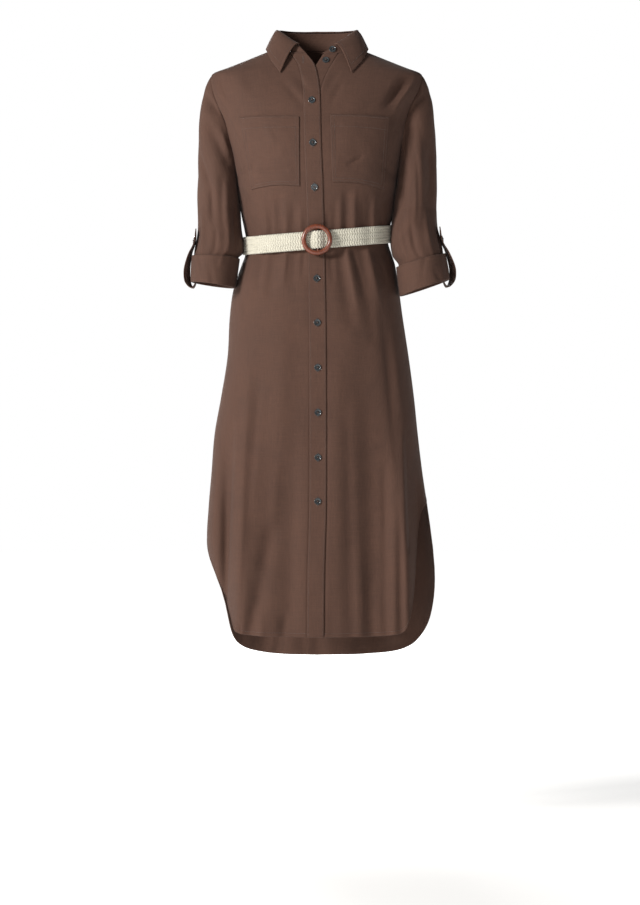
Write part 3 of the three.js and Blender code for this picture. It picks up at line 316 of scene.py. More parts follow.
CREASES_BACK = columns(
    "x1 z1 x2 z2 width height begin end skew",
    (-150, -60, -112, -116, 10, -2.4, 0.5, 0, 0.3),
    (152, -64, 108, -112, 10, -2.2, 0.5, 0, -0.3),
    (-168, -118, -140, -180, 9, -2.6, 0.6, 0, 0.3),
    (166, -124, 136, -196, 9, -2.4, 0.6, 0, -0.3),
    (-36, -40, 34, -44, 8, -1.6, 0, 0, 0.2),
    (-60, -58, 66, -64, 9, 1.2, 0, 0, 0),
    (-148, -250, -96, -232, 9, -2.6, 0.8, 0, 0.3),
    (147, -252, 92, -238, 9, -2.6, 0.8, 0, 0.3),
    (-144, -268, -100, -300, 8, -2.4, 0.7, 0, 0.4),
    (144, -266, 96, -306, 8, -2.4, 0.7, 0, -0.4),
    (-128, -270, -122, -345, 6, 1.8, 0, 1, 0),
    (-90, -262, -84, -345, 5, 2, 0, 1, 0.3),
    (-46, -276, -42, -345, 5, 1.8, 0, 1, 0),
    (-30, -290, -30, -345, 4, -1.4, 0, 1, 0),
    (6, -254, 4, -345, 5, 2, 0, 1, 0),
    (46, -280, 42, -345, 4.5, -1.6, 0, 1, 0),
    (56, -262, 54, -345, 5, 1.8, 0, 1, 0.3),
    (104, -270, 98, -345, 6, 1.8, 0, 1, 0),
    (120, -290, 116, -345, 5, -1.8, 0, 1, 0),
    (-112, -372, -128, -450, 6, -2, 1, 0, 0.3),
    (-70, -372, -82, -470, 6, 2.2, 1, 0, 0),
    (-56, -372, -62, -430, 5, -1.6, 1, 0, 0),
    (-16, -372, -18, -450, 6, 2, 1, 0, 0.3),
    (36, -372, 42, -460, 6, 2, 1, 0, 0),
    (46, -372, 52, -430, 5, -1.6, 1, 0, 0),
    (84, -372, 100, -470, 6, 2.2, 1, 0, 0.3),
    (-150, -560, -168, -900, 14, 2.6, 0, 0, 0.3),
    (-80, -560, -92, -1000, 16, 2.6, 0, 0.4, 0),
    (-72, -700, -84, -1120, 12, -3, 0, 0.9, 0.4),
    (2, -540, 0, -1120, 18, 2.6, 0, 0.6, 0),
    (20, -700, 22, -1130, 11, -3, 0, 1, -0.4),
    (96, -560, 108, -1100, 16, 2.8, 0, 0.8, 0.2),
    (90, -760, 98, -1120, 10, -2.6, 0, 1, 0.4),
    (168, -600, 186, -960, 13, -3, 0, 0.4, 0.3),
    (-160, -800, -170, -1080, 10, -3, 0, 1, 0.3),
    (-12, -1040, -14, -1138, 9, -2.2, 0, 1, 0),
)


# The garment's outer surface

def mix(a, b, t):
    return a + (b - a) * t


def read(table, key, column, at):
    """One column of a table at any place along another, with smooth slopes."""
    order = np.argsort(table[key])
    keys = table[key][order]
    values = table[column][order]
    at = np.clip(np.asarray(at, float), keys[0], keys[-1])
    i = np.clip(np.searchsorted(keys, at, side="right") - 1, 0, len(keys) - 2)
    before = np.maximum(np.arange(len(keys)) - 1, 0)
    after = np.minimum(np.arange(len(keys)) + 1, len(keys) - 1)
    slope = (values[after] - values[before]) / (keys[after] - keys[before])
    span = keys[i + 1] - keys[i]
    t = (at - keys[i]) / span
    ease = t * t * (3 - 2 * t)
    lean = t * (1 - t) * ((1 - t) * slope[i] - t * slope[i + 1])
    return mix(values[i], values[i + 1], ease) + span * lean


def fold_height(folds, x, z):
    """How far a table's folds lift the cloth at each place."""
    height = np.zeros_like(x)
    skews = folds.get("skew", np.zeros(len(folds["x1"])))
    rows = zip(*(folds[k] for k in ("x1", "z1", "x2", "z2", "width", "height", "begin", "end")))
    for skew, (x1, z1, x2, z2, width, lift, begin, end) in zip(skews, rows):
        dx, dz = x2 - x1, z2 - z1
        t = np.clip(((x - x1) * dx + (z - z1) * dz) / (dx * dx + dz * dz), 0, 1)
        across = (x - mix(x1, x2, t), z - mix(z1, z2, t))
        flank = np.sign(across[0] * dz - across[1] * dx)
        away = np.hypot(*across) / (width * (1 + skew * flank))
        full = 2 - (begin + end) / 2
        left = (1 - t) ** 2 * begin + 2 * t * (1 - t) * full + t * t * end
        height += lift * left * np.exp(-away * away)
    return height


LATTICE = 64


def unevenness(a, b, size, seed):
    """Soft uneven waves from -1 to 1, about size apart, the same on every run."""
    values = np.random.default_rng(seed).uniform(-1, 1, (LATTICE, LATTICE))
    u, v = np.asarray(a) / size, np.asarray(b) / size
    i, j = np.floor(u).astype(int), np.floor(v).astype(int)
    s, t = u - i, v - j
    s, t = s * s * (3 - 2 * s), t * t * (3 - 2 * t)
    pick = lambda p, q: values[p % LATTICE, q % LATTICE]
    return mix(mix(pick(i, j), pick(i + 1, j), s), mix(pick(i, j + 1), pick(i + 1, j + 1), s), t)


def side_value(table, key, share, at):
    """A table's right or left column, by the sign of the share."""
    return np.where(share < 0, read(table, key, "right", at), read(table, key, "left", at))


def share_at(x, z):
    """Share of the way from the middle line to a side seam, below zero on the right."""
    x = np.asarray(x, float)
    half = side_value(BODY, "z", x, z)
    return np.sign(x) * np.arcsin(np.clip(np.abs(x) / half, 0, 1)) * (2 / np.pi)


def body_spot(face, share, z, fine=True):
    """Points of the outer surface and the ways straight out of it."""
    share, z = np.broadcast_arrays(np.asarray(share, float), np.asarray(z, float))
    outward = -1 if face == "front" else 1
    half = side_value(BODY, "z", share, z)
    depth = read(BODY, "z", face, z)
    square = read(BODY, "z", "square", z)
    ratio = np.minimum(1, np.abs(np.sin(share * np.pi / 2)))
    reach = (1 - ratio ** square) ** (1 / square)
    sign = np.where(share < 0, -1.0, 1.0)
    x = sign * half * ratio
    lift = fold_height(FOLDS_FRONT if face == "front" else FOLDS_BACK, x, z)
    if fine:
        creases = CREASES_FRONT if face == "front" else CREASES_BACK
        lift = lift + CREASE_STRENGTH * fold_height(creases, x, z)
        lift = lift + UNEVEN * unevenness(x, z * 0.6, 34, 5 + outward)
        lift = lift + 0.4 * UNEVEN * unevenness(x, z, 13, 11 + outward)
    y = outward * (SEAM / 2 + depth * reach + lift * np.minimum(1, 2.5 * reach))
    widen = side_value(BODY, "z", share, z + 1) - half
    deepen = read(BODY, "z", face, z + 1) - depth
    nx = ratio ** (square - 1) / half
    ny = reach ** (square - 1) / depth
    nz = -(nx * ratio * widen + ny * reach * deepen)
    normal = np.stack([sign * nx, outward * ny, nz], -1)
    normal /= np.linalg.norm(normal, axis=-1, keepdims=True)
    return np.stack([x, y, z], -1), normal


def body_at(face, x, z, fine=True):
    return body_spot(face, share_at(x, z), z, fine)


CREASE_STRENGTH = 1.35
UNEVEN = 0.7            # height of the cloth's small uneven waves


def back_neck(x):
    return BACK_NECK_RISE * (1 - (x / NECK_POINT_X) ** 2)


def front_neck(x):
    across = np.clip(np.abs(x) / NECK_POINT_X, 0, 1)
    return -FRONT_NECK_DROP * np.sqrt(1 - across * across)


# Meshes from grids of points

def unit(v):
    return v / np.maximum(np.linalg.norm(v, axis=-1, keepdims=True), 1e-9)


def grid_faces(rows, cols, start=0, flip=False, loop=False):
    """Quads over a grid of points; a loop is closed across its columns."""
    i, j = np.meshgrid(np.arange(rows - 1), np.arange(cols if loop else cols - 1), indexing="ij")
    k = (j + 1) % cols
    a, b = start + i * cols + j, start + i * cols + k
    c, d = start + (i + 1) * cols + k, start + (i + 1) * cols + j
    quads = np.stack([a, b, c, d] if not flip else [a, d, c, b], -1)
    return quads.reshape(-1, 4)


def mesh_object(name, points, faces, uv=None):
    """A smooth-shaded object from points in millimetres."""
    mesh = bpy.data.meshes.new(name)
    mesh.from_pydata((np.asarray(points) * MM).tolist(), [], [list(map(int, f)) for f in faces])
    if uv is not None:
        layer = mesh.uv_layers.new(name="cloth")
        corners = np.empty(len(mesh.loops), int)
        mesh.loops.foreach_get("vertex_index", corners)
        layer.data.foreach_set("uv", (np.asarray(uv)[corners] * MM).astype(np.float32).ravel())
    mesh.polygons.foreach_set("use_smooth", np.ones(len(mesh.polygons), bool))
    mesh.validate()
    mesh.update()
    piece = bpy.data.objects.new(name, mesh)
    bpy.context.scene.collection.objects.link(piece)
    return piece


def volume(points, faces):
    p = np.asarray(points)
    f = np.asarray(faces)
    one = np.einsum("ij,ij->i", p[f[:, 0]], np.cross(p[f[:, 1]], p[f[:, 2]]))
    two = np.einsum("ij,ij->i", p[f[:, 0]], np.cross(p[f[:, 2]], p[f[:, 3]]))
    return float(one.sum() + two.sum())


def cloth_uv(grid):
    """Lengths along and across a grid's threads, measured on the cloth."""
    across = np.linalg.norm(np.diff(grid, axis=1), axis=-1)
    along = np.linalg.norm(np.diff(grid, axis=0), axis=-1)
    u = np.concatenate([np.zeros((len(grid), 1)), np.cumsum(across, 1)], 1)
    v = np.concatenate([np.zeros((1, grid.shape[1])), np.cumsum(along, 0)], 0)
    return np.stack([u, v], -1).reshape(-1, 2)


def wall_object(name, outer, inner, loop=False, rounded=0.35, offset=(0, 0)):
    """A closed wall between two grids, with rounded free edges."""
    rows, cols = outer.shape[:2]
    if loop:
        outer = np.concatenate([outer, outer[:, :1]], 1)
        inner = np.concatenate([inner, inner[:, :1]], 1)
        uv = cloth_uv(outer)[:, :].reshape(rows, cols + 1, 2)
        outer, inner = outer[:, :-1], inner[:, :-1]
        uv = uv[:, :-1].reshape(-1, 2)
    else:
        uv = cloth_uv(outer)
    uv = uv + np.asarray(offset, float)
    count = rows * cols
    points = [outer.reshape(-1, 3), inner.reshape(-1, 3)]
    uvs = [uv, uv]
    faces = [grid_faces(rows, cols, 0, loop=loop), grid_faces(rows, cols, count, True, loop)]
    index = np.arange(count).reshape(rows, cols)
    border = [(index[0], 0, 1), (index[-1], -1, -2)]
    if loop:
        rings = [(np.append(line, line[0]), a, b, True) for line, a, b in border]
    else:
        rings = [(np.concatenate([index[0], index[1:, -1], index[-1, -2::-1], index[-2::-1, 0]]),
                  None, None, False)]
    used = 2 * count
    flat_outer, flat_inner = outer.reshape(-1, 3), inner.reshape(-1, 3)
    middle_grid = ((outer + inner) / 2)
    for line, edge, within, is_loop in rings:
        a, b = flat_outer[line], flat_inner[line]
        thick = np.linalg.norm(a - b, axis=-1, keepdims=True)
        centre = (a + b) / 2
        if is_loop:
            away = middle_grid[edge] - middle_grid[within]
            away = np.concatenate([away, away[:1]])
        else:
            i, j = line // cols, line % cols
            step_i = np.where(i == 0, 1, np.where(i == rows - 1, -1, 0))
            step_j = np.where(j == 0, 1, np.where(j == cols - 1, -1, 0))
            away = centre - middle_grid[i + step_i, j + step_j]
        rim = centre + unit(away) * thick * rounded
        ids = used + np.arange(len(line) - 1)
        ids = np.append(ids, ids[0])
        points.append(rim[:-1])
        uvs.append(uv[line[:-1]])
        used += len(line) - 1
        turn = edge == -1
        for low, high in ((line, ids), (ids, line + count)):
            quads = np.stack([low[1:], low[:-1], high[:-1], high[1:]], -1)
            faces.append(quads[:, ::-1] if turn else quads)
    points, faces, uvs = np.concatenate(points), np.concatenate(faces), np.concatenate(uvs)
    if volume(points, faces) < 0:
        faces = faces[:, ::-1]
    return mesh_object(name, points, faces, uvs)


# Panels

SKIRT_ROWS, WAIST_ROWS, CHEST_ROWS = 138, 46, 54
FRONT_COLUMNS, BACK_COLUMNS = 66, 70
NECK_SHARE = 0.42
HEM_DEPTH = 6.5         # turned-up hem, from its edge to its stitching
PANEL_THICK = 0.9


def front_edge(side, z):
    line = "upper" if side == "right" else "under"
    offset = -BAND_WIDTH / 2 + BAND_TUCK if side == "right" else BAND_WIDTH / 2 + SEAM
    return share_at(read(FRONT_LINE, "z", line, z) + offset, z)


def front_edge_top(side):
    z = -FRONT_NECK_DROP
    for _ in range(6):
        x = math.sin(float(front_edge(side, z)) * math.pi / 2) * float(read(BODY, "z", side, z))
        z = float(front_neck(x))
    return z


def sign_of(side):
    return -1 if side == "right" else 1


def armhole_spot(side, t):
    z = mix(UNDERARM, SHOULDER_TIP_Z, t)
    return share_at(sign_of(side) * read(ARMHOLE, "z", side, z), z), z


def upper_edge(face, side, t, start):
    """Upper edge of half a panel: along the neckline, then along the shoulder seam."""
    sign = sign_of(side)
    angle = mix(start, np.pi / 2, np.minimum(t / NECK_SHARE, 1))
    x = sign * NECK_POINT_X * np.sin(angle)
    neck_z = front_neck(x) if face == "front" else back_neck(x)
    shoulder_z = mix(0, SHOULDER_TIP_Z, np.maximum(t - NECK_SHARE, 0) / (1 - NECK_SHARE))
    at_neck = t < NECK_SHARE
    return (np.where(at_neck, share_at(x, neck_z), sign), np.where(at_neck, neck_z, shoulder_z))


def chest_spots(face, side, s, t):
    """Chest half of a panel, blended from its four edges."""
    front = face == "front"
    top_z = front_edge_top(side) if front else BACK_NECK_RISE
    inner = (lambda z: front_edge(side, z)) if front else (lambda z: 0 * np.asarray(z, float))
    top_x = math.sin(float(inner(top_z)) * math.pi / 2) * float(read(BODY, "z", side, top_z))
    start = math.asin(min(1, abs(top_x) / NECK_POINT_X)) if front else 0
    sign = sign_of(side)
    top = upper_edge(face, side, s, start)
    near_z = mix(UNDERARM, top_z, t)
    near = (inner(near_z), near_z)
    far = armhole_spot(side, t)
    low = (mix(inner(UNDERARM), sign, s), UNDERARM + 0 * s)
    corner = ((inner(UNDERARM), inner(top_z)), (UNDERARM, top_z))
    ends = (armhole_spot(side, 0), armhole_spot(side, 1))
    spots = []
    for k in (0, 1):
        corners = mix(mix(corner[k][0], ends[0][k], s), mix(corner[k][1], ends[1][k], s), t)
        spots.append(mix(low[k], top[k], t) + mix(near[k], far[k], s) - corners)
    return spots


# Columns crowd together at the hem where its edge turns up steeply.
HEM_COLUMNS = {"at": np.array([0, 0.14, 0.27, 0.39, 0.48, 0.535, 0.585, 0.635, 0.69, 0.745, 0.8,
                               0.9, 1])}
HEM_COLUMNS["s"] = np.linspace(0, 1, len(HEM_COLUMNS["at"]))


def crowded(s, up):
    return mix(read(HEM_COLUMNS, "s", "at", s), s, up * up * (3 - 2 * up))


def half_panel(face, side, count):
    """Shares and levels of a half panel, its first row at the hem."""
    s = np.linspace(0, 1, count + 1)[None, :]
    edge = (lambda z: front_edge(side, z)) if face == "front" else (lambda z: 0 * np.asarray(z, float))
    near_hem = [0, 0.0016, 0.004, 0.007, 0.0102, 0.013, 0.017, 0.022]
    t = np.concatenate([near_hem, np.linspace(0.029, 1, SKIRT_ROWS - len(near_hem) + 1)])[:-1, None]
    hem_share = mix(abs(float(edge(FRONT_HEM))), 1, crowded(s, 0))
    hem = read(HEM_FRONT if face == "front" else HEM_BACK, "share", side, hem_share)
    skirt_z = mix(hem, WAIST_LOW, t)
    waist_z = mix(WAIST_LOW, UNDERARM, np.linspace(0, 1, WAIST_ROWS + 1)[:-1, None]) + 0 * s
    z = np.concatenate([skirt_z, waist_z])
    crowd = np.concatenate([crowded(s, t), 0 * waist_z + s])
    share = mix(edge(z), sign_of(side), crowd)
    up = chest_spots(face, side, s, np.linspace(0, 1, CHEST_ROWS + 1)[:, None])
    return np.concatenate([share, up[0]]), np.concatenate([z, up[1]])


def hem_turn(points):
    """Small rise of the turned hem and a dip along its stitching."""
    steps = np.linalg.norm(np.diff(points, axis=0), axis=-1)
    away = np.concatenate([np.zeros((1, points.shape[1])), np.cumsum(steps, 0)])
    rise = 0.45 / (1 + np.exp((away - HEM_DEPTH) / 0.6))
    return (rise - 0.35 * np.exp(-((away - HEM_DEPTH) / 0.9) ** 2))[..., None]


def panel(name, shares, levels, face):
    spots, normals = body_spot(face, shares, levels)
    outer = spots + normals * hem_turn(spots)
    inner = spots - normals * (PANEL_THICK + 0.5 * hem_turn(spots))
    return wall_object(name, outer, inner)


# Layers that lie on the panels

def across_band(line, low, high, count, top):
    rows = int((FRONT_HEM - top) / -4.2)
    z = np.linspace(FRONT_HEM, top, rows)
    middle = read(FRONT_LINE, "z", line, z)
    x = middle[:, None] + np.linspace(low, high, count)[None, :]
    neck = front_neck(x) + 0 * x
    share_up = np.clip((z[:, None] - (top - 40)) / 40, 0, 1)
    return x, z[:, None] + share_up * (neck - top)


def layer_object(name, x, z, low, high, rounded=0.45):
    """A layer of cloth over the front, between two heights over its surface."""
    spots, normals = body_at("front", x, z)
    return wall_object(name, spots + normals * np.asarray(high)[..., None],
                       spots + normals * np.asarray(low)[..., None], rounded=rounded)


def edge_relief(width, x_mm, stitch, rise=0.35, dip=0.28):
    """Height of a folded and stitched edge, by distance from it."""
    height = rise / (1 + np.exp((x_mm - width) / 0.7))
    for place in np.atleast_1d(stitch):
        height = height - dip * np.exp(-((x_mm - place) / 0.8) ** 2)
    return height


POCKETS = {
    "pocket_right": ((-141, -138), (-33, -140), (-119.5, -269), (-32, -266)),
    "pocket_left": ((24.8, -137), (131.5, -138.5), (28.3, -258.5), (122.6, -269)),
}
POCKET_DIP = 4
POCKET_HEM = 22


def pocket_place(name, s, t):
    """Place on a pocket: s across from its left corner as seen, t down from its hem."""
    a, b, c, d = POCKETS[name]
    x = mix(mix(a[0], b[0], s), mix(c[0], d[0], s), t)
    z = mix(mix(a[1], b[1], s), mix(c[1], d[1], s), t)
    return x, z + POCKET_DIP * t * np.sin(np.pi * s)


def pocket(name):
    width = POCKETS[name][1][0] - POCKETS[name][0][0]
    length = POCKETS[name][0][1] - POCKETS[name][2][1]
    s, t = np.meshgrid(graded(width, 2.6), graded(length, 2.6))
    x, z = pocket_place(name, s, t)
    from_side = np.minimum(s, 1 - s) * width
    from_low = (1 - t) * length
    from_top = t * length
    edge = np.minimum(from_side, from_low)
    height = CLOTH + LIFT + edge_relief(5.5, edge, (1.8, 6.5), 0.3)
    height = height + edge_relief(POCKET_HEM, from_top, (1.8, POCKET_HEM), 0.35)
    slack = 1.6 * np.sin(np.pi * s) * (1 - t) ** 1.3 * (t < 2)
    wave = 0.7 * unevenness(x, z, 26, 31) * np.clip(edge / 14, 0, 1)
    lift = slack + np.maximum(wave, -0.4)
    return layer_object(name + "_cloth", x, z, LIFT + lift, height + lift)


def graded(length, step, fine=(0, 0.7, 1.8, 3.2)):
    """Places from 0 to 1 along a length, closer together at both ends."""
    ends = np.array(fine) / length
    count = max(4, int(length * (1 - 2 * ends[-1]) / step))
    middle = np.linspace(ends[-1], 1 - ends[-1], count + 1)
    return np.concatenate([ends[:-1], middle, 1 - ends[:-1][::-1]])


# Collar

STAND_FRONT = {"right": 15, "left": 7}
FALL_FRONT = {"right": 27, "left": 27}
FOLD_HALF_WIDTH = 73
FOLD_DEPTH = 58
FOLD_LINE = columns(
    "angle z",
    (26, -1), (38, 7), (50, 16), (62, 23), (75, 29), (90, 32), (130, 36), (180, 38),
)
COLLAR_EDGE = (
    ("front", -67, 63, -54), ("front", -76, 74, -41), ("front", -84, 84, -28),
    ("front", -89.5, 90, -14), ("ridge", -93, 94, 0), ("back", -76, 76, -10),
    ("back", -44, 44, -14), ("back", 0, 0, -15),
)
COLLAR_LIFT = 1.4
COLLAR_CROWN = (0.35, 5)


def neck_seam(angle):
    """Seam between the neckline and the stand, by angle from the front."""
    a = np.radians(np.abs(angle))
    x = np.sign(angle) * NECK_POINT_X * np.sin(a)
    front = body_at("front", x, front_neck(x), False)[0]
    back = body_at("back", x, back_neck(x), False)[0]
    return np.where((a <= np.pi / 2)[..., None], front, back)


def fold_line(angle):
    a = np.radians(np.abs(angle))
    return np.stack([np.sign(angle) * FOLD_HALF_WIDTH * np.sin(a), -FOLD_DEPTH * np.cos(a),
                     read(FOLD_LINE, "angle", "z", np.abs(angle))], -1)


def round_neck(fronts, share):
    """Angle round the back of the neck, from the right front end to the left one."""
    t = mix(-1, 1, np.asarray(share, float))
    right = -180 - t * (180 - fronts["right"])
    return np.where(t < 0, right, 180 - t * (180 - fronts["left"]))


def catmull(points, t):
    """A smooth curve through points, at places from 0 to 1."""
    p = np.asarray(points, float)
    p = np.concatenate([[2 * p[0] - p[1]], p, [2 * p[-1] - p[-2]]])
    place = np.clip(np.asarray(t, float), 0, 1) * (len(p) - 3)
    i = np.minimum(place.astype(int), len(p) - 4)
    u = (place - i)[..., None]
    power = lambda a, b: np.maximum(np.linalg.norm(b - a, axis=-1, keepdims=True) ** 0.5, 1e-4)
    p0, p1, p2, p3 = p[i], p[i + 1], p[i + 2], p[i + 3]
    d0, d1, d2 = power(p0, p1), power(p1, p2), power(p2, p3)
    m1 = ((p1 - p0) / d0 - (p2 - p0) / (d0 + d1) + (p2 - p1) / d1) * d1
    m2 = ((p2 - p1) / d1 - (p3 - p1) / (d1 + d2) + (p3 - p2) / d2) * d1
    return ((2 * u ** 3 - 3 * u ** 2 + 1) * p1 + (u ** 3 - 2 * u ** 2 + u) * m1
            + (3 * u ** 2 - 2 * u ** 3) * p2 + (u ** 3 - u ** 2) * m2)


def fall_edge(side, t):
    """Lower edge of the turned-down collar, from its tip (0) to the middle of the back (1)."""
    spots = []
    for face, right, left, z in COLLAR_EDGE:
        x = right if side == "right" else left
        if face == "ridge":
            spots.append((x, 0, z))
            continue
        point, normal = body_at(face, np.array(x), np.array(z), False)
        spots.append(point + normal * COLLAR_LIFT)
    return catmull(spots, t)


def grid_normals(grid, loop=False):
    """Ways straight out of a grid of points, on the side given by its rows and columns."""
    if loop:
        across = np.roll(grid, -1, 1) - np.roll(grid, 1, 1)
    else:
        across = np.gradient(grid, axis=1)
    return unit(np.cross(across, np.gradient(grid, axis=0)))


def stand_grid():
    share = graded(470, 4.5)
    low = neck_seam(round_neck(STAND_FRONT, share)) + np.array([0, 0, SEAM])
    high = fold_line(round_neck(FALL_FRONT, share))
    t = graded(34, 3.2, (0, 0.8, 2))[None, :, None]
    grid = mix(low[:, None], high[:, None], t)
    bow = np.sin(np.pi * t) * 1.4
    outward = unit(grid * np.array([1, 1, 0]))
    return grid + outward * bow


def collar_stand():
    outer = stand_grid()
    outward = unit(outer * np.array([1, 1, 0]))
    return wall_object("collar_stand_cloth", outer, outer - outward * COLLAR_WALL, rounded=0.5)


def fall_grid(rows=22):
    """Under side of the turned-down collar, one row for each place along the fold."""
    share = graded(520, 3.6)
    angle = round_neck(FALL_FRONT, share)
    fold = fold_line(angle) + np.array([0, 0, COLLAR_WALL + LIFT])
    t = 1 - np.abs(mix(-1, 1, share))
    edge = np.where((angle < 0)[:, None], fall_edge("right", t), fall_edge("left", t))
    crown = mix(fold, edge, COLLAR_CROWN[0])
    crown[:, 2] = fold[:, 2] + COLLAR_CROWN[1]
    u = graded(62, 3.2)[None, :, None]
    return ((1 - u) ** 2 * fold[:, None] + 2 * u * (1 - u) * crown[:, None]
            + u ** 2 * edge[:, None]), u[..., 0], share


def collar_fall():
    grid, u, share = fall_grid()
    normals = grid_normals(grid)
    normals = np.where(normals[..., 2:] < 0, -normals, normals)
    from_edge = (1 - u) * 62
    from_front = np.minimum(share, 1 - share)[:, None] * 520
    edge = np.minimum(from_edge, from_front)
    height = COLLAR_WALL + edge_relief(5, edge, (5.2,), 0.25, 0.3)
    height = height + 0.5 * unevenness(grid[..., 0], grid[..., 2] + grid[..., 1], 24, 41)
    height = height - 0.9 * np.exp(-((from_edge - 40) / 5) ** 2) * (unevenness(
        grid[..., 0], grid[..., 1], 30, 43) > 0.3)
    return wall_object("collar_fall_cloth", grid + normals * height[..., None], grid, rounded=0.5)


# Sleeves

ARM = {
    "right": columns(
        "z x y wide deep climb",
        (-300, -182, -8, 39, 57, 0), (-337, -180.5, -18, 40.5, 54, 0.04),
        (-360, -180, -25, 43.5, 52, 0.08), (-378, -182, -30, 44.5, 49, 0.1),
        (-390, -187.8, -33, 40.2, 48, 0.06), (-402, -189, -35.7, 39.6, 47.4, 0.07)),
    "left": columns(
        "z x y wide deep climb",
        (-300, 181.5, -12, 40.5, 57, 0), (-337, 180.5, -26, 43.5, 54, 0.08),
        (-360, 182, -34, 46, 52, 0.16), (-380, 186, -40, 45.5, 49, 0.22),
        (-393, 192, -42.3, 41.4, 48.2, 0.25), (-406, 193.7, -44.7, 41.4, 47.5, 0.27)),
}
FOLDS_SLEEVE = {
    "right": columns(
        "a1 z1 a2 z2 width height",
        (30, -125, 128, -235, 16, -4), (52, -205, 78, -350, 14, -5),
        (110, -250, 112, -350, 14, 3), (10, -240, 24, -350, 16, 2.5),
        (235, -140, 280, -290, 18, -5), (320, -230, 300, -350, 16, -4)),
    "left": columns(
        "a1 z1 a2 z2 width height",
        (62, -140, 92, -345, 13, 4), (42, -150, 62, -345, 14, -4),
        (118, -210, 122, -345, 14, -4), (12, -220, 26, -345, 14, 2.5),
        (240, -150, 270, -300, 18, -5), (318, -210, 306, -345, 16, -4)),
}
# Finer sleeve creases. x is the length round the sleeve from its outer side.
DEGREE = 0.85
CREASES_SLEEVE = {
    "right": columns(
        "x1 z1 x2 z2 width height begin end skew",
        (14, -88, 60, -128, 7, -2, 0.6, 0, 0.3), (40, -70, 74, -84, 6, -1.6, 0.8, 0, 0),
        (60, -150, 104, -206, 8, 2, 0.2, 0, 0.3), (20, -196, 58, -262, 7, -2, 0, 0, 0.3),
        (58, -262, 60, -330, 6, -1.8, 0.6, 0, 0), (86, -236, 86, -352, 8, -2, 0, 0.2, 0.3),
        (34, -300, 40, -380, 6, 1.8, 0, 0.9, 0), (70, -336, 70, -396, 5, -2, 0, 1, 0.3),
        (98, -330, 94, -396, 5, 1.8, 0, 1, 0), (14, -330, 16, -396, 6, -1.8, 0, 1, 0),
        (118, -280, 112, -390, 6, -1.8, 0, 0.8, 0), (206, -120, 236, -220, 9, -2.6, 0.2, 0, 0.3),
        (180, -240, 200, -350, 9, -2.4, 0, 0.6, 0), (236, -250, 228, -380, 8, 2.2, 0, 0.8, 0),
        (270, -180, 262, -320, 9, -2.4, 0, 0, 0.3)),
    "left": columns(
        "x1 z1 x2 z2 width height begin end skew",
        (10, -84, 56, -122, 7, -2, 0.6, 0, 0.3), (58, -68, 82, -100, 7, -2.4, 0.8, 0, 0.3),
        (78, -120, 96, -220, 8, -2, 0.2, 0, 0.3), (26, -170, 38, -300, 8, -2, 0, 0, 0),
        (66, -200, 72, -330, 6, -1.8, 0, 0.3, 0.3), (90, -240, 96, -350, 7, 1.8, 0, 0.5, 0),
        (50, -290, 52, -392, 6, 1.8, 0, 0.9, 0), (84, -330, 82, -394, 5, -2, 0, 1, 0.3),
        (16, -310, 20, -392, 6, -1.8, 0, 1, 0), (108, -320, 104, -392, 5, 1.8, 0, 1, 0),
        (206, -130, 232, -226, 9, -2.6, 0.2, 0, 0.3), (184, -236, 200, -350, 9, -2.4, 0, 0.6, 0),
        (238, -246, 230, -380, 8, 2.2, 0, 0.8, 0), (272, -176, 264, -320, 9, -2.4, 0, 0, 0.3)),
}
ROUND = 104
CAP_ROWS = 66
CAP_LEAVE = (0.7, 0.25, 0.3)
CAP_HOLD = 0.55         # share of the way that the cap keeps its first direction outside
CAP_TUCK = 1            # the sleeve's edge lies this far under the panel at the armhole
FOLD_ENDS = 0.7


def ring_point(side, ring, degrees):
    angle = np.radians(degrees)
    out = ring["wide"] * np.cos(angle)
    x = ring["x"] + sign_of(side) * out
    y = ring["y"] - ring["deep"] * np.sin(angle)
    return np.stack(np.broadcast_arrays(x, y, ring["z"] + ring["climb"] * out), -1)


def armhole_point(side, degrees):
    t = np.abs(180 - degrees) / 180
    share, z = armhole_spot(side, t)
    front = body_spot("front", share, z)[0]
    return np.where((degrees <= 180)[:, None], front, body_spot("back", share, z)[0])


def turns_between(angle, other):
    return (angle - other + 540) % 360 - 180


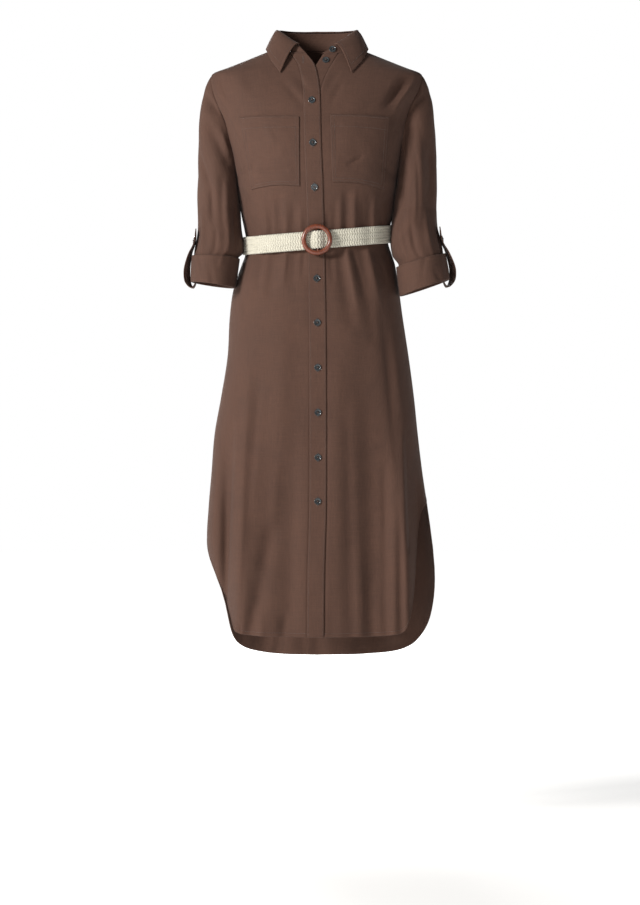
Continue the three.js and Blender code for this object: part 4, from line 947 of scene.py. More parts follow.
def sleeve_grid(side):
    sign = sign_of(side)
    angles = np.arange(ROUND) * 360 / ROUND
    table = ARM[side]
    first = {k: v[0] for k, v in table.items()}
    start = armhole_point(side, angles) - np.array([sign * CAP_TUCK, 0, 0])
    end = ring_point(side, first, angles)
    outer = (1 + np.cos(np.radians(angles))) / 2
    size = np.linalg.norm(end - start, axis=-1, keepdims=True)
    out, forward, lift = CAP_LEAVE
    leave = unit(np.stack([sign * out * outer, -forward * np.sin(np.radians(angles)),
                           lift * outer - 1], -1)) * size * mix(1, CAP_HOLD, outer)[:, None]
    arrive = np.array([0, 0, -1.0]) * size
    t = np.linspace(0, 1, CAP_ROWS + 1)[:, None, None]
    h = t * t * (3 - 2 * t)
    cap = mix(start, end, h) + leave * t * (1 - t) ** 2 - arrive * t * t * (1 - t)
    z = np.linspace(-300, table["z"].min(), 27)[1:, None]
    ring = {k: read(table, "z", k, z) for k in ("x", "y", "wide", "deep", "climb")}
    tube = ring_point(side, dict(ring, z=z), angles[None, :])
    grid = np.concatenate([cap, tube])
    middle = grid.mean(1, keepdims=True)
    away = unit((grid - middle) * np.array([1, 1, 0]))
    height = np.zeros(grid.shape[:2])
    folds = FOLDS_SLEEVE[side]
    for a1, z1, a2, z2, width, lift in zip(*(folds[k] for k in folds)):
        t = np.clip((grid[..., 2] - z1) / (z2 - z1), 0, 1)
        turn = turns_between(angles[None, :], mix(a1, a2, t))
        height += lift * np.sin(np.pi * t) ** FOLD_ENDS * np.exp(-(turn / width) ** 2)
    across = np.broadcast_to(angles[None, :] * DEGREE, height.shape)
    free = 1 + np.clip((grid[..., 2] + 385) / 25, 0, 1)
    for shift in (-360 * DEGREE, 0, 360 * DEGREE):
        height += free * fold_height(CREASES_SLEEVE[side], across + shift, grid[..., 2])
    nx, ny = np.cos(np.radians(angles)) * 46, np.sin(np.radians(angles)) * 46
    height += 0.8 * unevenness(nx[None, :] + grid[..., 2] * 0.3, ny[None, :] + grid[..., 2] * 0.8,
                               27, 51 + sign)
    from_start = np.clip(np.arange(len(grid)) / 5, 0, 1)[:, None]
    return grid + away * (height * from_start)[..., None]


def out_of(grid, away):
    """Normals of a closed ring grid, turned to the side of the given ways."""
    normals = grid_normals(grid, True)
    flip = np.einsum("ijk,ijk->ij", normals, away) < 0
    return np.where(flip[..., None], -normals, normals)


def sleeve(side):
    outer = sleeve_grid(side)
    normals = out_of(outer, outer - outer.mean(1, keepdims=True))
    step = -normals * PANEL_THICK
    step[0, :, 0] = np.where(step[0, :, 0] * sign_of(side) < 0, 0, step[0, :, 0])
    tuck = 1.5 * np.exp(-(np.arange(len(outer)) / 0.9) ** 2)[:, None, None]
    under = normals * tuck
    return wall_object(f"sleeve_{side}_cloth", outer - under, outer + step - under, True)


CUFF = {
    "right": ((-390, -188, -33, 45, 53, 0.05), (-443, -192.5, -45, 41.5, 49, 0.14)),
    "left": ((-397, 192.5, -43, 46, 53, 0.26), (-449, 199.5, -53, 46.5, 49, 0.34)),
}
CUFF_CREASES = {
    "right": columns(
        "x1 z1 x2 z2 width height begin end skew",
        (40, 0, 48, 30, 5, -1.1, 1, 0, 0.3), (64, 10, 78, 52, 6, -1, 0, 1, 0),
        (92, 0, 88, 24, 5, 0.9, 1, 0, 0.3), (14, 6, 30, 44, 6, -1, 0, 0.4, 0),
        (180, 4, 200, 44, 7, -1.2, 0.4, 0, 0.3), (240, 52, 226, 10, 6, -1, 0.8, 0, 0)),
    "left": columns(
        "x1 z1 x2 z2 width height begin end skew",
        (44, 52, 60, 22, 6, -1.2, 1, 0, 0.3), (70, 0, 82, 36, 5, -1, 1, 0, 0),
        (98, 52, 92, 24, 6, 1, 1, 0, 0.3), (20, 10, 30, 48, 6, -0.9, 0, 0.6, 0),
        (176, 4, 204, 40, 7, -1.2, 0.4, 0, 0.3), (244, 50, 228, 12, 6, -1, 0.8, 0, 0)),
}


def cuff_section():
    """Section of the roll: share of its height and place across its wall."""
    half = CUFF_WALL / 2
    up = np.linspace(0.05, 0.95, 20)
    outer = [(t, half + 0.5 * math.sin(math.pi * t)) for t in up]
    low = [(0.975, half - 0.1), (0.992, 1.4), (1.0, 0.4), (0.998, -0.8), (0.98, -1.7)]
    inner = [(t, -half) for t in up[::-2]]
    top = [(0.022, -1.9), (0.004, -1.5), (0.0, -0.8), (0.012, -0.1), (0.006, 0.5), (0.0, 1.2),
           (0.012, 1.8), (0.03, 2.0)]
    return np.array(outer + low + inner + top)


def cuff_grid(side):
    angles = np.arange(ROUND + 16) * 360 / (ROUND + 16)
    section = cuff_section()
    t, out = section[:, 0][:, None], section[:, 1][:, None]
    keys = ("z", "x", "y", "wide", "deep", "climb")
    ring = {k: mix(a, b, t) for k, a, b in zip(keys, *CUFF[side])}
    across = angles[None, :] * DEGREE + 0 * t
    length = CUFF[side][0][0] - CUFF[side][1][0]
    crease = fold_height(CUFF_CREASES[side], across, t * length)
    loose = 0.8 * unevenness(across, t * 20 + 0 * across, 22, 61) * np.sin(np.pi * np.clip(t, 0, 1))
    outside = np.clip(out / 2 + 0.5, 0, 1)
    push = out - CUFF_WALL / 2 + outside * (1.3 * crease + loose)
    wave = 1.3 * unevenness(across, 0 * across, 33, 63 + sign_of(side))
    ring["wide"] = ring["wide"] + push
    ring["deep"] = ring["deep"] + push
    ring["z"] = ring["z"] + wave * (1 - t)
    return ring_point(side, ring, angles[None, :])


def closed_sweep(name, grid, uv_scale=1.0):
    """A closed piece from a grid that runs round on itself both ways."""
    rows, cols = grid.shape[:2]
    points = grid.reshape(-1, 3)
    index = np.arange(rows * cols).reshape(rows, cols)
    right, down = np.roll(index, -1, 1), np.roll(index, -1, 0)
    both = np.roll(down, -1, 1)
    faces = np.stack([index, right, both, down], -1).reshape(-1, 4)
    if volume(points, faces) < 0:
        faces = faces[:, ::-1]
    return mesh_object(name, points, faces, cloth_uv(grid) * uv_scale)


def cuff(side):
    return closed_sweep(f"cuff_{side}_cloth", cuff_grid(side))


# Tabs: middle line out from the wearer's side, from the strap's tip over the roll.
TAB_LINE = {
    "right": (-40, ((224.5, -338), (226.5, -362), (236, -387), (241.5, -418), (239, -439),
                    (231, -448), (225.5, -441), (226.5, -422), (226, -411))),
    "left": (-49, ((227.5, -335), (231, -361), (242, -384), (251.5, -416), (249.5, -437),
                   (241, -447), (235, -440), (234.5, -424), (232, -413))),
}
TAB_TWIST = math.radians(26)
TAB_BUTTON_Z = {"right": -360, "left": -358}


def tab_curve(side, t):
    y, line = TAB_LINE[side]
    sign = sign_of(side)
    points = [(sign * out, y, z) for out, z in line]
    place = catmull(points, t)
    step = 1e-3
    along = unit(catmull(points, np.minimum(t + step, 1)) - catmull(points, np.maximum(t - step, 0)))
    return place, along, np.stack([-along[..., 2] * sign, 0 * t, along[..., 0] * sign], -1)


def tab(side):
    t = graded(190, 2.8)
    place, _, normal = tab_curve(side, t)
    point = np.clip(t * 190 / 9, 0, 1)
    half = TAB_WIDTH / 2 * (0.12 + 0.88 * point ** 0.8)
    w = graded(TAB_WIDTH, 2.2, (0, 0.6, 1.6)) * 2 - 1
    across = half[:, None] * w[None, :]
    turn = TAB_TWIST * np.exp(-((t - 0.42) / 0.2) ** 2)
    sideways = np.stack([-sign_of(side) * np.sin(turn), np.cos(turn), 0 * turn], -1)
    spots = place[:, None] + across[..., None] * sideways[:, None]
    edge = np.minimum((1 - np.abs(w)) * TAB_WIDTH / 2, t[:, None] * 190)
    relief = edge_relief(3, edge, (2.4,), 0.12, 0.22)
    cup = 0.5 * (w[None, :] ** 2) * np.sin(np.pi * t[:, None])
    push = relief - cup + 0.35 * unevenness(across, t[:, None] * 190 + 0 * across, 16, 71)
    outer = spots + normal[:, None] * (TAB_WALL / 2 + push)[..., None]
    inner = spots - normal[:, None] * (TAB_WALL / 2 + cup * 0.6)[..., None]
    return wall_object(f"tab_{side}_cloth", outer, inner, rounded=0.5)


# Belt

BELT_OVER = columns(
    "x out",
    (-200, 7.3), (-26, 7.3), (-12.5, 7.2), (-6, 11.4), (0, 13.2), (6, 11.4), (12.5, 6.8),
    (26, 4.4), (50, BELT_CLEAR), (200, BELT_CLEAR),
)
BELT_OVER_START = 3.55
BRAID_PITCH = 4.7
BRAID_ROWS = 6
BRAID_CORD = (2.35, 1.5)        # half width and half thickness of one cord as it shows


def belt_z(x, y):
    return BELT_Z + BELT_RISE_X * x + BELT_RISE_Y * y


def belt_spot(quarters):
    """Place on the inner side of the belt and the way out, by quarter turns."""
    turn = quarters % 4
    back = (turn > 1) & (turn <= 3)
    share = np.where(back, turn - 2, np.where(turn > 3, 4 - turn, -turn))

    def at(z):
        front_spot, front_normal = body_spot("front", share, z, False)
        back_spot, back_normal = body_spot("back", share, z, False)
        pick = back[:, None]
        return (np.where(pick, back_spot, front_spot), np.where(pick, back_normal, front_normal))

    spot, normal = at(BELT_Z + 0 * quarters)
    for _ in range(4):
        spot, normal = at(belt_z(spot[:, 0], spot[:, 1]))
    flat = unit(normal * np.array([1, 1, 0]))
    over = np.where(quarters > 3, read(BELT_OVER, "x", "out", spot[:, 0]), BELT_CLEAR)
    return spot + flat * over[:, None]


def belt_path():
    """The belt's middle line at even steps, with its ways along and out."""
    start = abs(float(share_at(-BELT_FIXED_END, BELT_Z)))
    stop = 4 + abs(float(share_at(-TAIL_REACH, BELT_Z)))
    quarters = np.linspace(start, stop, 1400)
    line = belt_spot(quarters)
    smooth = np.ones(15) / 15
    padded = np.concatenate([np.repeat(line[:1], 7, 0), line, np.repeat(line[-1:], 7, 0)])
    soft = np.stack([np.convolve(padded[:, k], smooth, "valid") for k in range(3)], -1)
    line = np.where((np.abs(line[:, :1]) < 30) & (line[:, 1:2] < 0), line, soft)
    length = np.concatenate([[0], np.cumsum(np.linalg.norm(np.diff(line, axis=0), axis=-1))])
    count = int(length[-1] / (BRAID_PITCH / 4))
    even = np.linspace(0, length[-1], count + 1)
    line = np.stack([np.interp(even, length, line[:, k]) for k in range(3)], -1)
    along = unit(np.gradient(line, axis=0) * np.array([1, 1, 0]))
    out = np.stack([-along[:, 1], along[:, 0], 0 * even], -1)
    middle = line.mean(0)
    if np.einsum("ij,ij->", out, line - middle) < 0:
        out = -out
    return even, line, along, out


def cord_shape(sides=8, rings=(-1, -0.62, 0, 0.62, 1)):
    """One visible run of a braiding cord, fat in its middle and tucked under at its ends."""
    points, faces = [], []
    for r in rings:
        fat = math.sqrt(max(0, 1 - abs(r) ** 2.6)) * 0.92 + 0.08
        for k in range(sides):
            a = 2 * math.pi * k / sides
            points.append((r, math.cos(a) * fat, math.sin(a) * fat - 0.35 * r * r))
    for i in range(len(rings) - 1):
        for k in range(sides):
            a, b = i * sides + k, i * sides + (k + 1) % sides
            faces.append((a, a + sides, b + sides, b))
    return np.array(points), faces, sides, len(rings)


def belt():
    """A flat braid: rows of slanting cords on both faces round a plain core."""
    even, line, along, out = belt_path()
    shape, quads, sides, count = cord_shape()
    row_height = BELT_HEIGHT / BRAID_ROWS
    length = even[-1]
    points, faces, uvs = [], [], []
    used = 0
    slant = math.atan2(row_height, BRAID_PITCH * 0.9)
    half_run = 0.62 * math.hypot(row_height, BRAID_PITCH * 0.9)
    up = np.array([0, 0, 1.0])
    for face in (1, -1):
        for row in range(BRAID_ROWS):
            middle = (row + 0.5) * row_height - BELT_HEIGHT / 2
            lean = 1 if row % 2 == 0 else -1
            places = np.arange(BRAID_PITCH * 0.5, length - BRAID_PITCH * 0.3, BRAID_PITCH)
            places = places + (0 if row % 2 == 0 else BRAID_PITCH * 0.06)
            for i, place in enumerate(places):
                wobble = 0.12 * math.sin(i * 12.9898 + row * 78.233)
                run = shape[:, 0] * half_run
                ds = run * math.cos(slant) - shape[:, 1] * BRAID_CORD[0] * math.sin(slant) * lean
                dz = lean * run * math.sin(slant) + shape[:, 1] * BRAID_CORD[0] * math.cos(slant)
                at = np.clip(place + ds, 0, length)
                centre = np.stack([np.interp(at, even, line[:, k]) for k in range(3)], -1)
                outward = np.stack([np.interp(at, even, out[:, k]) for k in range(3)], -1)
                flat = BELT_THICK / 2 + face * (BELT_THICK / 2 - BRAID_CORD[1] + 0.35 + wobble)
                rise = flat + face * shape[:, 2] * BRAID_CORD[1]
                points.append(centre + outward * rise[:, None] + up * (middle + dz)[:, None])
                uvs.append(np.stack([run + 40 * row, shape[:, 1] * 6 + i * 9.0], -1))
                flip = face * lean < 0
                for q in quads:
                    faces.append([used + v for v in (q[::-1] if flip else q)])
                cap = list(range(sides))
                last = [(count - 1) * sides + k for k in range(sides)]
                caps = (cap, last[::-1])
                for c in caps:
                    faces.append([used + v for v in (c[::-1] if flip else c)])
                used += len(shape)
    core = []
    for high in (-BELT_HEIGHT / 2 + 1.6, BELT_HEIGHT / 2 - 1.6):
        for thick in (1.0, BELT_THICK - 1.0):
            core.append(line + out * thick + up * high)
    ring = [core[0], core[1], core[3], core[2]]
    stack = np.stack(ring, 1)[4:-4]
    n = len(stack)
    points.append(stack.reshape(-1, 3))
    uvs.append(np.zeros((n * 4, 2)))
    for i in range(n - 1):
        for k in range(4):
            a, b = used + i * 4 + k, used + i * 4 + (k + 1) % 4
            faces.append([a, b, b + 4, a + 4])
    faces.append([used + k for k in (3, 2, 1, 0)])
    faces.append([used + (n - 1) * 4 + k for k in range(4)])
    return np.concatenate(points), faces, np.concatenate(uvs)


# Stitches: short rounded threads laid along lines on the cloth

STITCH_PITCH = 3.1
STITCH_LENGTH = 2.3
STITCH_WIDTH = 0.32


def stitch_shape():
    points, faces, sides = [], [], 6
    for r, fat in ((-1, 0.25), (-0.6, 0.95), (0.6, 0.95), (1, 0.25)):
        for k in range(sides):
            a = 2 * math.pi * k / sides
            points.append((r, math.cos(a) * fat, math.sin(a) * fat - 0.8 * r ** 4))
    for i in range(3):
        for k in range(sides):
            a, b = i * sides + k, i * sides + (k + 1) % sides
            faces.append((a, b, b + sides, a + sides))
    faces.append(tuple(range(sides))[::-1])
    faces.append(tuple(3 * sides + k for k in range(sides)))
    return np.array(points), faces


def stitches(name, lines, pitch=STITCH_PITCH, length=STITCH_LENGTH, width=STITCH_WIDTH):
    """Threads along lines, each line a pair of points and ways out of the cloth."""
    shape, quads = stitch_shape()
    points, faces, used = [], [], 0
    for line, out in lines:
        line, out = np.asarray(line, float), np.asarray(out, float)
        steps = np.concatenate([[0], np.cumsum(np.linalg.norm(np.diff(line, axis=0), axis=-1))])
        for i, place in enumerate(np.arange(pitch * 0.7, steps[-1] - pitch * 0.5, pitch)):
            ends = np.array([place - length / 2, place, place + length / 2])
            spot = np.stack([np.interp(ends, steps, line[:, k]) for k in range(3)], -1)
            along = unit(spot[2] - spot[0])
            up = np.array([np.interp(place, steps, out[:, k]) for k in range(3)])
            up = unit(up - along * np.dot(up, along))
            side = np.cross(up, along)
            twist = 0.06 * math.sin(i * 7.3)
            side_turned = side * math.cos(twist) + along * math.sin(twist)
            along_turned = along * math.cos(twist) - side * math.sin(twist)
            local = (shape[:, :1] * length / 2 * along_turned + shape[:, 1:2] * width * side_turned
                     + shape[:, 2:] * width * 0.8 * up)
            points.append(spot[1] + up * 0.12 + local)
            faces.extend([[used + v for v in q] for q in quads])
            used += len(shape)
    return mesh_object(name, np.concatenate(points), faces)


def surface_line(x, z, lift, face="front"):
    spots, normals = body_at(face, x, z)
    return spots + normals * np.asarray(lift)[..., None], normals


def grid_line(grid, normals, push):
    return grid + normals * push, normals


# Hard pieces, modelled with Blender's own operators

def deselect():
    bpy.ops.object.select_all(action="DESELECT")


def active(piece):
    deselect()
    piece.select_set(True)
    bpy.context.view_layer.objects.active = piece
    return piece


def apply_modifier(piece, kind, **settings):
    active(piece)
    bpy.ops.object.modifier_add(type=kind)
    modifier = piece.modifiers[-1]
    for key, value in settings.items():
        setattr(modifier, key, value)
    bpy.ops.object.modifier_apply(modifier=modifier.name)


def place_in_mesh(piece):
    active(piece)
    bpy.ops.object.transform_apply(location=True, rotation=True, scale=True)


def remove(piece):
    mesh = piece.data
    bpy.data.objects.remove(piece)
    bpy.data.meshes.remove(mesh)


BUTTON_HOLE = 0.85
BUTTON_HOLE_REACH = 1.35


def model_button():
    """A four-hole button at the origin, its flat back down and its dish up."""
    deselect()
    bpy.ops.mesh.primitive_cylinder_add(vertices=40, radius=BUTTON_RADIUS * MM,
                                        depth=BUTTON_THICK * MM,
                                        location=(0, 0, BUTTON_THICK / 2 * MM))
    button = bpy.context.object
    bpy.ops.object.mode_set(mode="EDIT")
    bpy.ops.mesh.select_all(action="DESELECT")
    bpy.ops.mesh.select_mode(type="FACE")
    bpy.ops.object.mode_set(mode="OBJECT")
    for polygon in button.data.polygons:
        polygon.select = polygon.normal.z > 0.9
    bpy.ops.object.mode_set(mode="EDIT")
    bpy.ops.mesh.inset(thickness=1.15 * MM, depth=0.0)
    bpy.ops.mesh.inset(thickness=0.55 * MM, depth=-0.75 * MM)
    bpy.ops.mesh.inset(thickness=1.3 * MM, depth=-0.12 * MM)
    bpy.ops.object.mode_set(mode="OBJECT")
    apply_modifier(button, "BEVEL", width=0.42 * MM, segments=3, limit_method="ANGLE",
                   angle_limit=math.radians(32))
    for k in range(4):
        angle = math.radians(45 + 90 * k)
        deselect()
        bpy.ops.mesh.primitive_cylinder_add(
            vertices=14, radius=BUTTON_HOLE * MM, depth=4 * BUTTON_THICK * MM,
            location=(math.cos(angle) * BUTTON_HOLE_REACH * 1.2 * MM,
                      math.sin(angle) * BUTTON_HOLE_REACH * 1.2 * MM, 0))
        drill = bpy.context.object
        apply_modifier(button, "BOOLEAN", operation="DIFFERENCE", object=drill, solver="EXACT")
        remove(drill)
    active(button)
    bpy.ops.object.shade_smooth_by_angle(angle=math.radians(40))
    return button


def model_button_thread():
    """Crossed threads through the four holes, at the origin."""
    strands = []
    for k in range(4):
        angle = math.radians(45 + 90 * k)
        other = math.radians(45 + 90 * (k + 2)) if k < 2 else math.radians(45 + 90 * (k + 1))
        reach = BUTTON_HOLE_REACH * 1.2
        a = Vector((math.cos(angle) * reach, math.sin(angle) * reach, 0))
        b = Vector((math.cos(other) * reach, math.sin(other) * reach, 0))
        if k >= 2:
            continue
        for shift in (-0.22, 0.22):
            along = (b - a).normalized()
            side = Vector((-along.y, along.x, 0)) * shift
            deselect()
            bpy.ops.mesh.primitive_uv_sphere_add(segments=8, ring_count=7, radius=MM)
            strand = bpy.context.object
            strand.scale = ((b - a).length / 2 + 0.35, 0.3, 0.42)
            strand.rotation_euler = (0, 0, math.atan2(along.y, along.x))
            strand.location = ((a + b) / 2 + side + Vector((0, 0, 2.0 + 0.25 * k))) * MM
            place_in_mesh(strand)
            strands.append(strand)
    deselect()
    for strand in strands:
        strand.select_set(True)
    bpy.context.view_layer.objects.active = strands[0]
    bpy.ops.object.join()
    thread = bpy.context.object
    bpy.ops.object.shade_smooth()
    return thread


def copy_to(source, name, point, out, turn=0.0):
    """A copy of a modelled piece, its own mesh moved to a point and turned to face out."""
    piece = bpy.data.objects.new(name, source.data.copy())
    bpy.context.scene.collection.objects.link(piece)
    facing = Vector(out).to_track_quat("Z", "Y").to_matrix().to_4x4()
    piece.matrix_world = (Matrix.Translation(Vector(point) * MM) @ facing
                          @ Matrix.Rotation(turn, 4, "Z"))
    place_in_mesh(piece)
    return piece


# Places of the buttons

BUTTONS = columns("z turn", (-109, 8), (-188, -5), (-268, 12), (-435, -9), (-516, 4),
                  (-598, 15), (-680, -4), (-762, 7), (-842, -12))
BAND_TOP = LIFT + CLOTH
STAND_BUTTON = (18, 4)


def button_places():
    """Name, base point, way out and turn of every button."""
    places = []
    angle, spread = STAND_BUTTON
    seam = neck_seam(np.array(float(angle)))
    fold = fold_line(np.array(float(FALL_FRONT["left"])))
    around = neck_seam(np.array(float(angle + spread))) - neck_seam(np.array(float(angle - spread)))
    out = unit(np.cross(fold - seam, around))
    out = -out if out[1] > 0 else out
    places.append(("button_01", mix(seam, fold, 0.5) + out * 1.3, out, 10))
    spot, normal = body_at("front", read(FRONT_LINE, "z", "under", -29), np.array(-29.0))
    places.append(("button_02", spot + normal * 0.7, normal, -14))
    for i, (z, turn) in enumerate(zip(BUTTONS["z"], BUTTONS["turn"])):
        spot, normal = body_at("front", read(FRONT_LINE, "z", "upper", z), np.array(z))
        places.append((f"button_{i + 3:02d}", spot + normal * (BAND_TOP + 0.65), normal, turn))
    for side in ("right", "left"):
        t = np.linspace(0, 0.5, 400)
        place, _, normal = tab_curve(side, t)
        k = int(np.argmin(np.abs(place[:, 2] - TAB_BUTTON_Z[side])))
        places.append((f"tab_button_{side}", place[k] + normal[k] * (TAB_WALL / 2 + 0.95),
                       normal[k], 20))
    return places


def buttonhole(name, middle, along, out, half=7.4):
    """A slit worked with close threads on both sides and bars at its ends."""
    lines = []
    across = np.cross(out, along)
    for side in (-1, 1):
        for u in np.linspace(-half, half, 26):
            a = middle + along * u + across * side * 0.35
            b = middle + along * u + across * side * 1.75
            lines.append((np.stack([a, b]), np.stack([out, out])))
    for end in (-half - 0.6, half + 0.6):
        for v in np.linspace(-1.6, 1.6, 6):
            a = middle + along * (end - 0.5) + across * v
            b = middle + along * (end + 0.5) + across * v
            lines.append((np.stack([a, b]), np.stack([out, out])))
    shape, quads = stitch_shape()
    points, faces, used = [], [], 0
    for line, ways in lines:
        way = unit(line[1] - line[0])
        side = np.cross(ways[0], way)
        length = np.linalg.norm(line[1] - line[0])
        local = (shape[:, :1] * length / 2 * way + shape[:, 1:2] * 0.34 * side
                 + shape[:, 2:] * 0.34 * ways[0])
        points.append(line.mean(0) + local + ways[0] * 0.1)
        faces.extend([[used + v for v in q] for q in quads])
        used += len(shape)
    return mesh_object(name, np.concatenate(points), faces)


# Materials

class Nodes:
    """A short way to lay out a material's nodes."""

    def __init__(self, name):
        self.material = bpy.data.materials.new(name)
        self.material.use_nodes = True
        self.tree = self.material.node_tree
        self.shader = self.tree.nodes["Principled BSDF"]

    def add(self, kind, inputs=None, **settings):
        node = self.tree.nodes.new(kind)
        for key, value in settings.items():
            setattr(node, key, value)
        for key, value in (inputs or {}).items():
            self.put(node.inputs[key], value)
        return node

    def put(self, socket, value):
        if isinstance(value, bpy.types.NodeSocket):
            self.tree.links.new(value, socket)
        else:
            socket.default_value = value

    def math(self, operation, a, b=0.0):
        node = self.add("ShaderNodeMath", operation=operation)
        self.put(node.inputs[0], a)
        self.put(node.inputs[1], b)
        return node.outputs[0]

    def blend(self, amount, a, b, kind="MIX"):
        node = self.add("ShaderNodeMix", data_type="RGBA", blend_type=kind)
        self.put(node.inputs[0], amount)
        self.put(node.inputs[6], a)
        self.put(node.inputs[7], b)
        return node.outputs[2]

    def spread(self, value, low, high, to_low=0.0, to_high=1.0):
        node = self.add("ShaderNodeMapRange")
        for socket, number in zip(node.inputs, (value, low, high, to_low, to_high)):
            self.put(socket, number)
        return node.outputs[0]

    def scaled(self, vector, scale):
        return self.add("ShaderNodeMapping", {"Vector": vector, "Scale": scale}).outputs[0]

    def noise(self, vector, scale, detail=2.0, roughness=0.5):
        return self.add("ShaderNodeTexNoise", {
            "Vector": vector, "Scale": scale, "Detail": detail, "Roughness": roughness,
        }).outputs["Fac"]

    def bump(self, height, strength, distance, normal=None):
        node = self.add("ShaderNodeBump", {
            "Height": height, "Strength": strength, "Distance": distance})
        if normal is not None:
            self.put(node.inputs["Normal"], normal)
        return node.outputs[0]

    def finish(self, color, roughness, normal=None, **plain):
        self.put(self.shader.inputs["Base Color"], color)
        self.put(self.shader.inputs["Roughness"], roughness)
        if normal is not None:
            self.put(self.shader.inputs["Normal"], normal)
        for key, value in plain.items():
            self.shader.inputs[key.replace("_", " ")].default_value = value
        return self.material


def tint(color, factor):
    return (*(min(1, c * factor) for c in color[:3]), 1)


def linen_material(name, color, turn=0.0):
    """Plain-weave linen: two sets of uneven threads, slubs, soft patches of tone and painted shade
    between the threads.
    """
    n = Nodes(name)
    uv = n.add("ShaderNodeUVMap", uv_map="cloth").outputs[0]
    uv = n.add("ShaderNodeMapping", {"Vector": uv, "Rotation": (0, 0, turn)}).outputs[0]
    patches = n.noise(n.scaled(uv, (1, 1, 1)), 14, 3)
    warp = n.noise(n.scaled(uv, (900, 26, 1)), 1.0, 3, 0.6)
    weft = n.noise(n.scaled(uv, (26, 900, 1)), 1.0, 3, 0.6)
    slubs = n.noise(n.scaled(uv, (30, 420, 1)), 1.0, 4, 0.65)
    wave = {"wave_type": "BANDS", "wave_profile": "SIN"}
    over = n.add("ShaderNodeTexWave", {"Vector": uv, "Scale": 255, "Distortion": 1.2,
                                       "Detail": 1.0, "Detail Scale": 0.6},
                 bands_direction="X", **wave).outputs["Fac"]
    under = n.add("ShaderNodeTexWave", {"Vector": uv, "Scale": 255, "Distortion": 1.2,
                                        "Detail": 1.0, "Detail Scale": 0.6},
                  bands_direction="Y", **wave).outputs["Fac"]
    threads = n.math("MULTIPLY", over, under)
    tone = n.math("ADD", n.math("MULTIPLY", warp, 0.5), n.math("MULTIPLY", weft, 0.5))
    tone = n.math("ADD", tone, n.spread(patches, 0.3, 0.7, -0.06, 0.06))
    tone = n.spread(tone, 0.34, 0.68)
    base = n.blend(tone, tint(color, 0.78), tint(color, 1.22))
    base = n.blend(n.spread(slubs, 0.62, 0.78, 0, 0.35), base, tint(color, 1.5))
    # Painted shade: the cloth is darkened in the gaps between the threads.
    base = n.blend(n.spread(threads, 0, 0.5, 0.28, 0), base, tint(color, 0.55))
    height = n.math("ADD", n.math("MULTIPLY", threads, 0.5),
                    n.math("ADD", n.math("MULTIPLY", warp, 0.6), n.math("MULTIPLY", weft, 0.6)))
    weave = n.bump(height, 0.55, 0.00035)
    rumple = n.bump(n.noise(n.scaled(uv, (1, 1, 1)), 95, 4, 0.6), 0.32, 0.0016, weave)
    return n.finish(base, n.spread(tone, 0, 1, 0.78, 0.92), rumple, Sheen_Weight=0.06,
                    Sheen_Roughness=0.45, Specular_IOR_Level=0.25)


def thread_material(name, color):
    n = Nodes(name)
    spot = n.add("ShaderNodeTexCoord").outputs["Object"]
    twist = n.noise(n.scaled(spot, (1, 1, 1)), 1800, 2)
    return n.finish(n.blend(twist, tint(color, 0.75), tint(color, 1.25)), 0.62,
                    n.bump(twist, 0.4, 0.0002), Sheen_Weight=0.3)


def cord_material(name, color):
    """Soft cotton cord: fine fibres along each run and soft random patches of tone."""
    n = Nodes(name)
    uv = n.add("ShaderNodeUVMap", uv_map="cloth").outputs[0]
    spot = n.add("ShaderNodeTexCoord").outputs["Object"]
    fibres = n.noise(n.scaled(uv, (350, 2600, 1)), 1.0, 3, 0.6)
    soil = n.noise(n.scaled(spot, (1, 1, 1)), 60, 3)
    tone = n.math("ADD", n.math("MULTIPLY", fibres, 0.6), n.math("MULTIPLY", soil, 0.4))
    base = n.blend(n.spread(tone, 0.35, 0.65), tint(color, 0.86), tint(color, 1.06))
    return n.finish(base, 0.85, n.bump(fibres, 0.6, 0.0004), Sheen_Weight=0.35,
                    Sheen_Roughness=0.5, Specular_IOR_Level=0.2)


def wood_material(name, color, centre):
    """Stained wood under a satin varnish, its grain running across the ring."""
    n = Nodes(name)
    spot = n.add("ShaderNodeTexCoord").outputs["Object"]
    grain = n.add("ShaderNodeMapping", {
        "Vector": spot, "Location": tuple(-c for c in centre),
        "Rotation": (0.35, 0.2, 0.5)}).outputs[0]
    grain = n.scaled(grain, (1, 0.35, 0.12))
    rings = n.add("ShaderNodeTexWave", {
        "Vector": grain, "Scale": 120, "Distortion": 9, "Detail": 3, "Detail Scale": 1.4,
    }, wave_type="RINGS", rings_direction="Z").outputs["Fac"]
    pores = n.noise(n.scaled(grain, (1400, 300, 90)), 1.0, 3, 0.65)
    streak = n.noise(n.scaled(grain, (220, 90, 30)), 1.0, 4, 0.6)
    base = n.blend(n.spread(rings, 0.1, 0.9), tint(color, 0.7), tint(color, 1.25))
    base = n.blend(n.spread(streak, 0.5, 0.72, 0, 0.75), base, tint(color, 0.5))
    base = n.blend(n.spread(pores, 0.58, 0.7, 0, 0.6), base, tint(color, 0.35))
    rough = n.spread(streak, 0.3, 0.7, 0.3, 0.44)
    return n.finish(base, rough, n.bump(pores, 0.15, 0.0003), Coat_Weight=0.35,
                    Coat_Roughness=0.22)


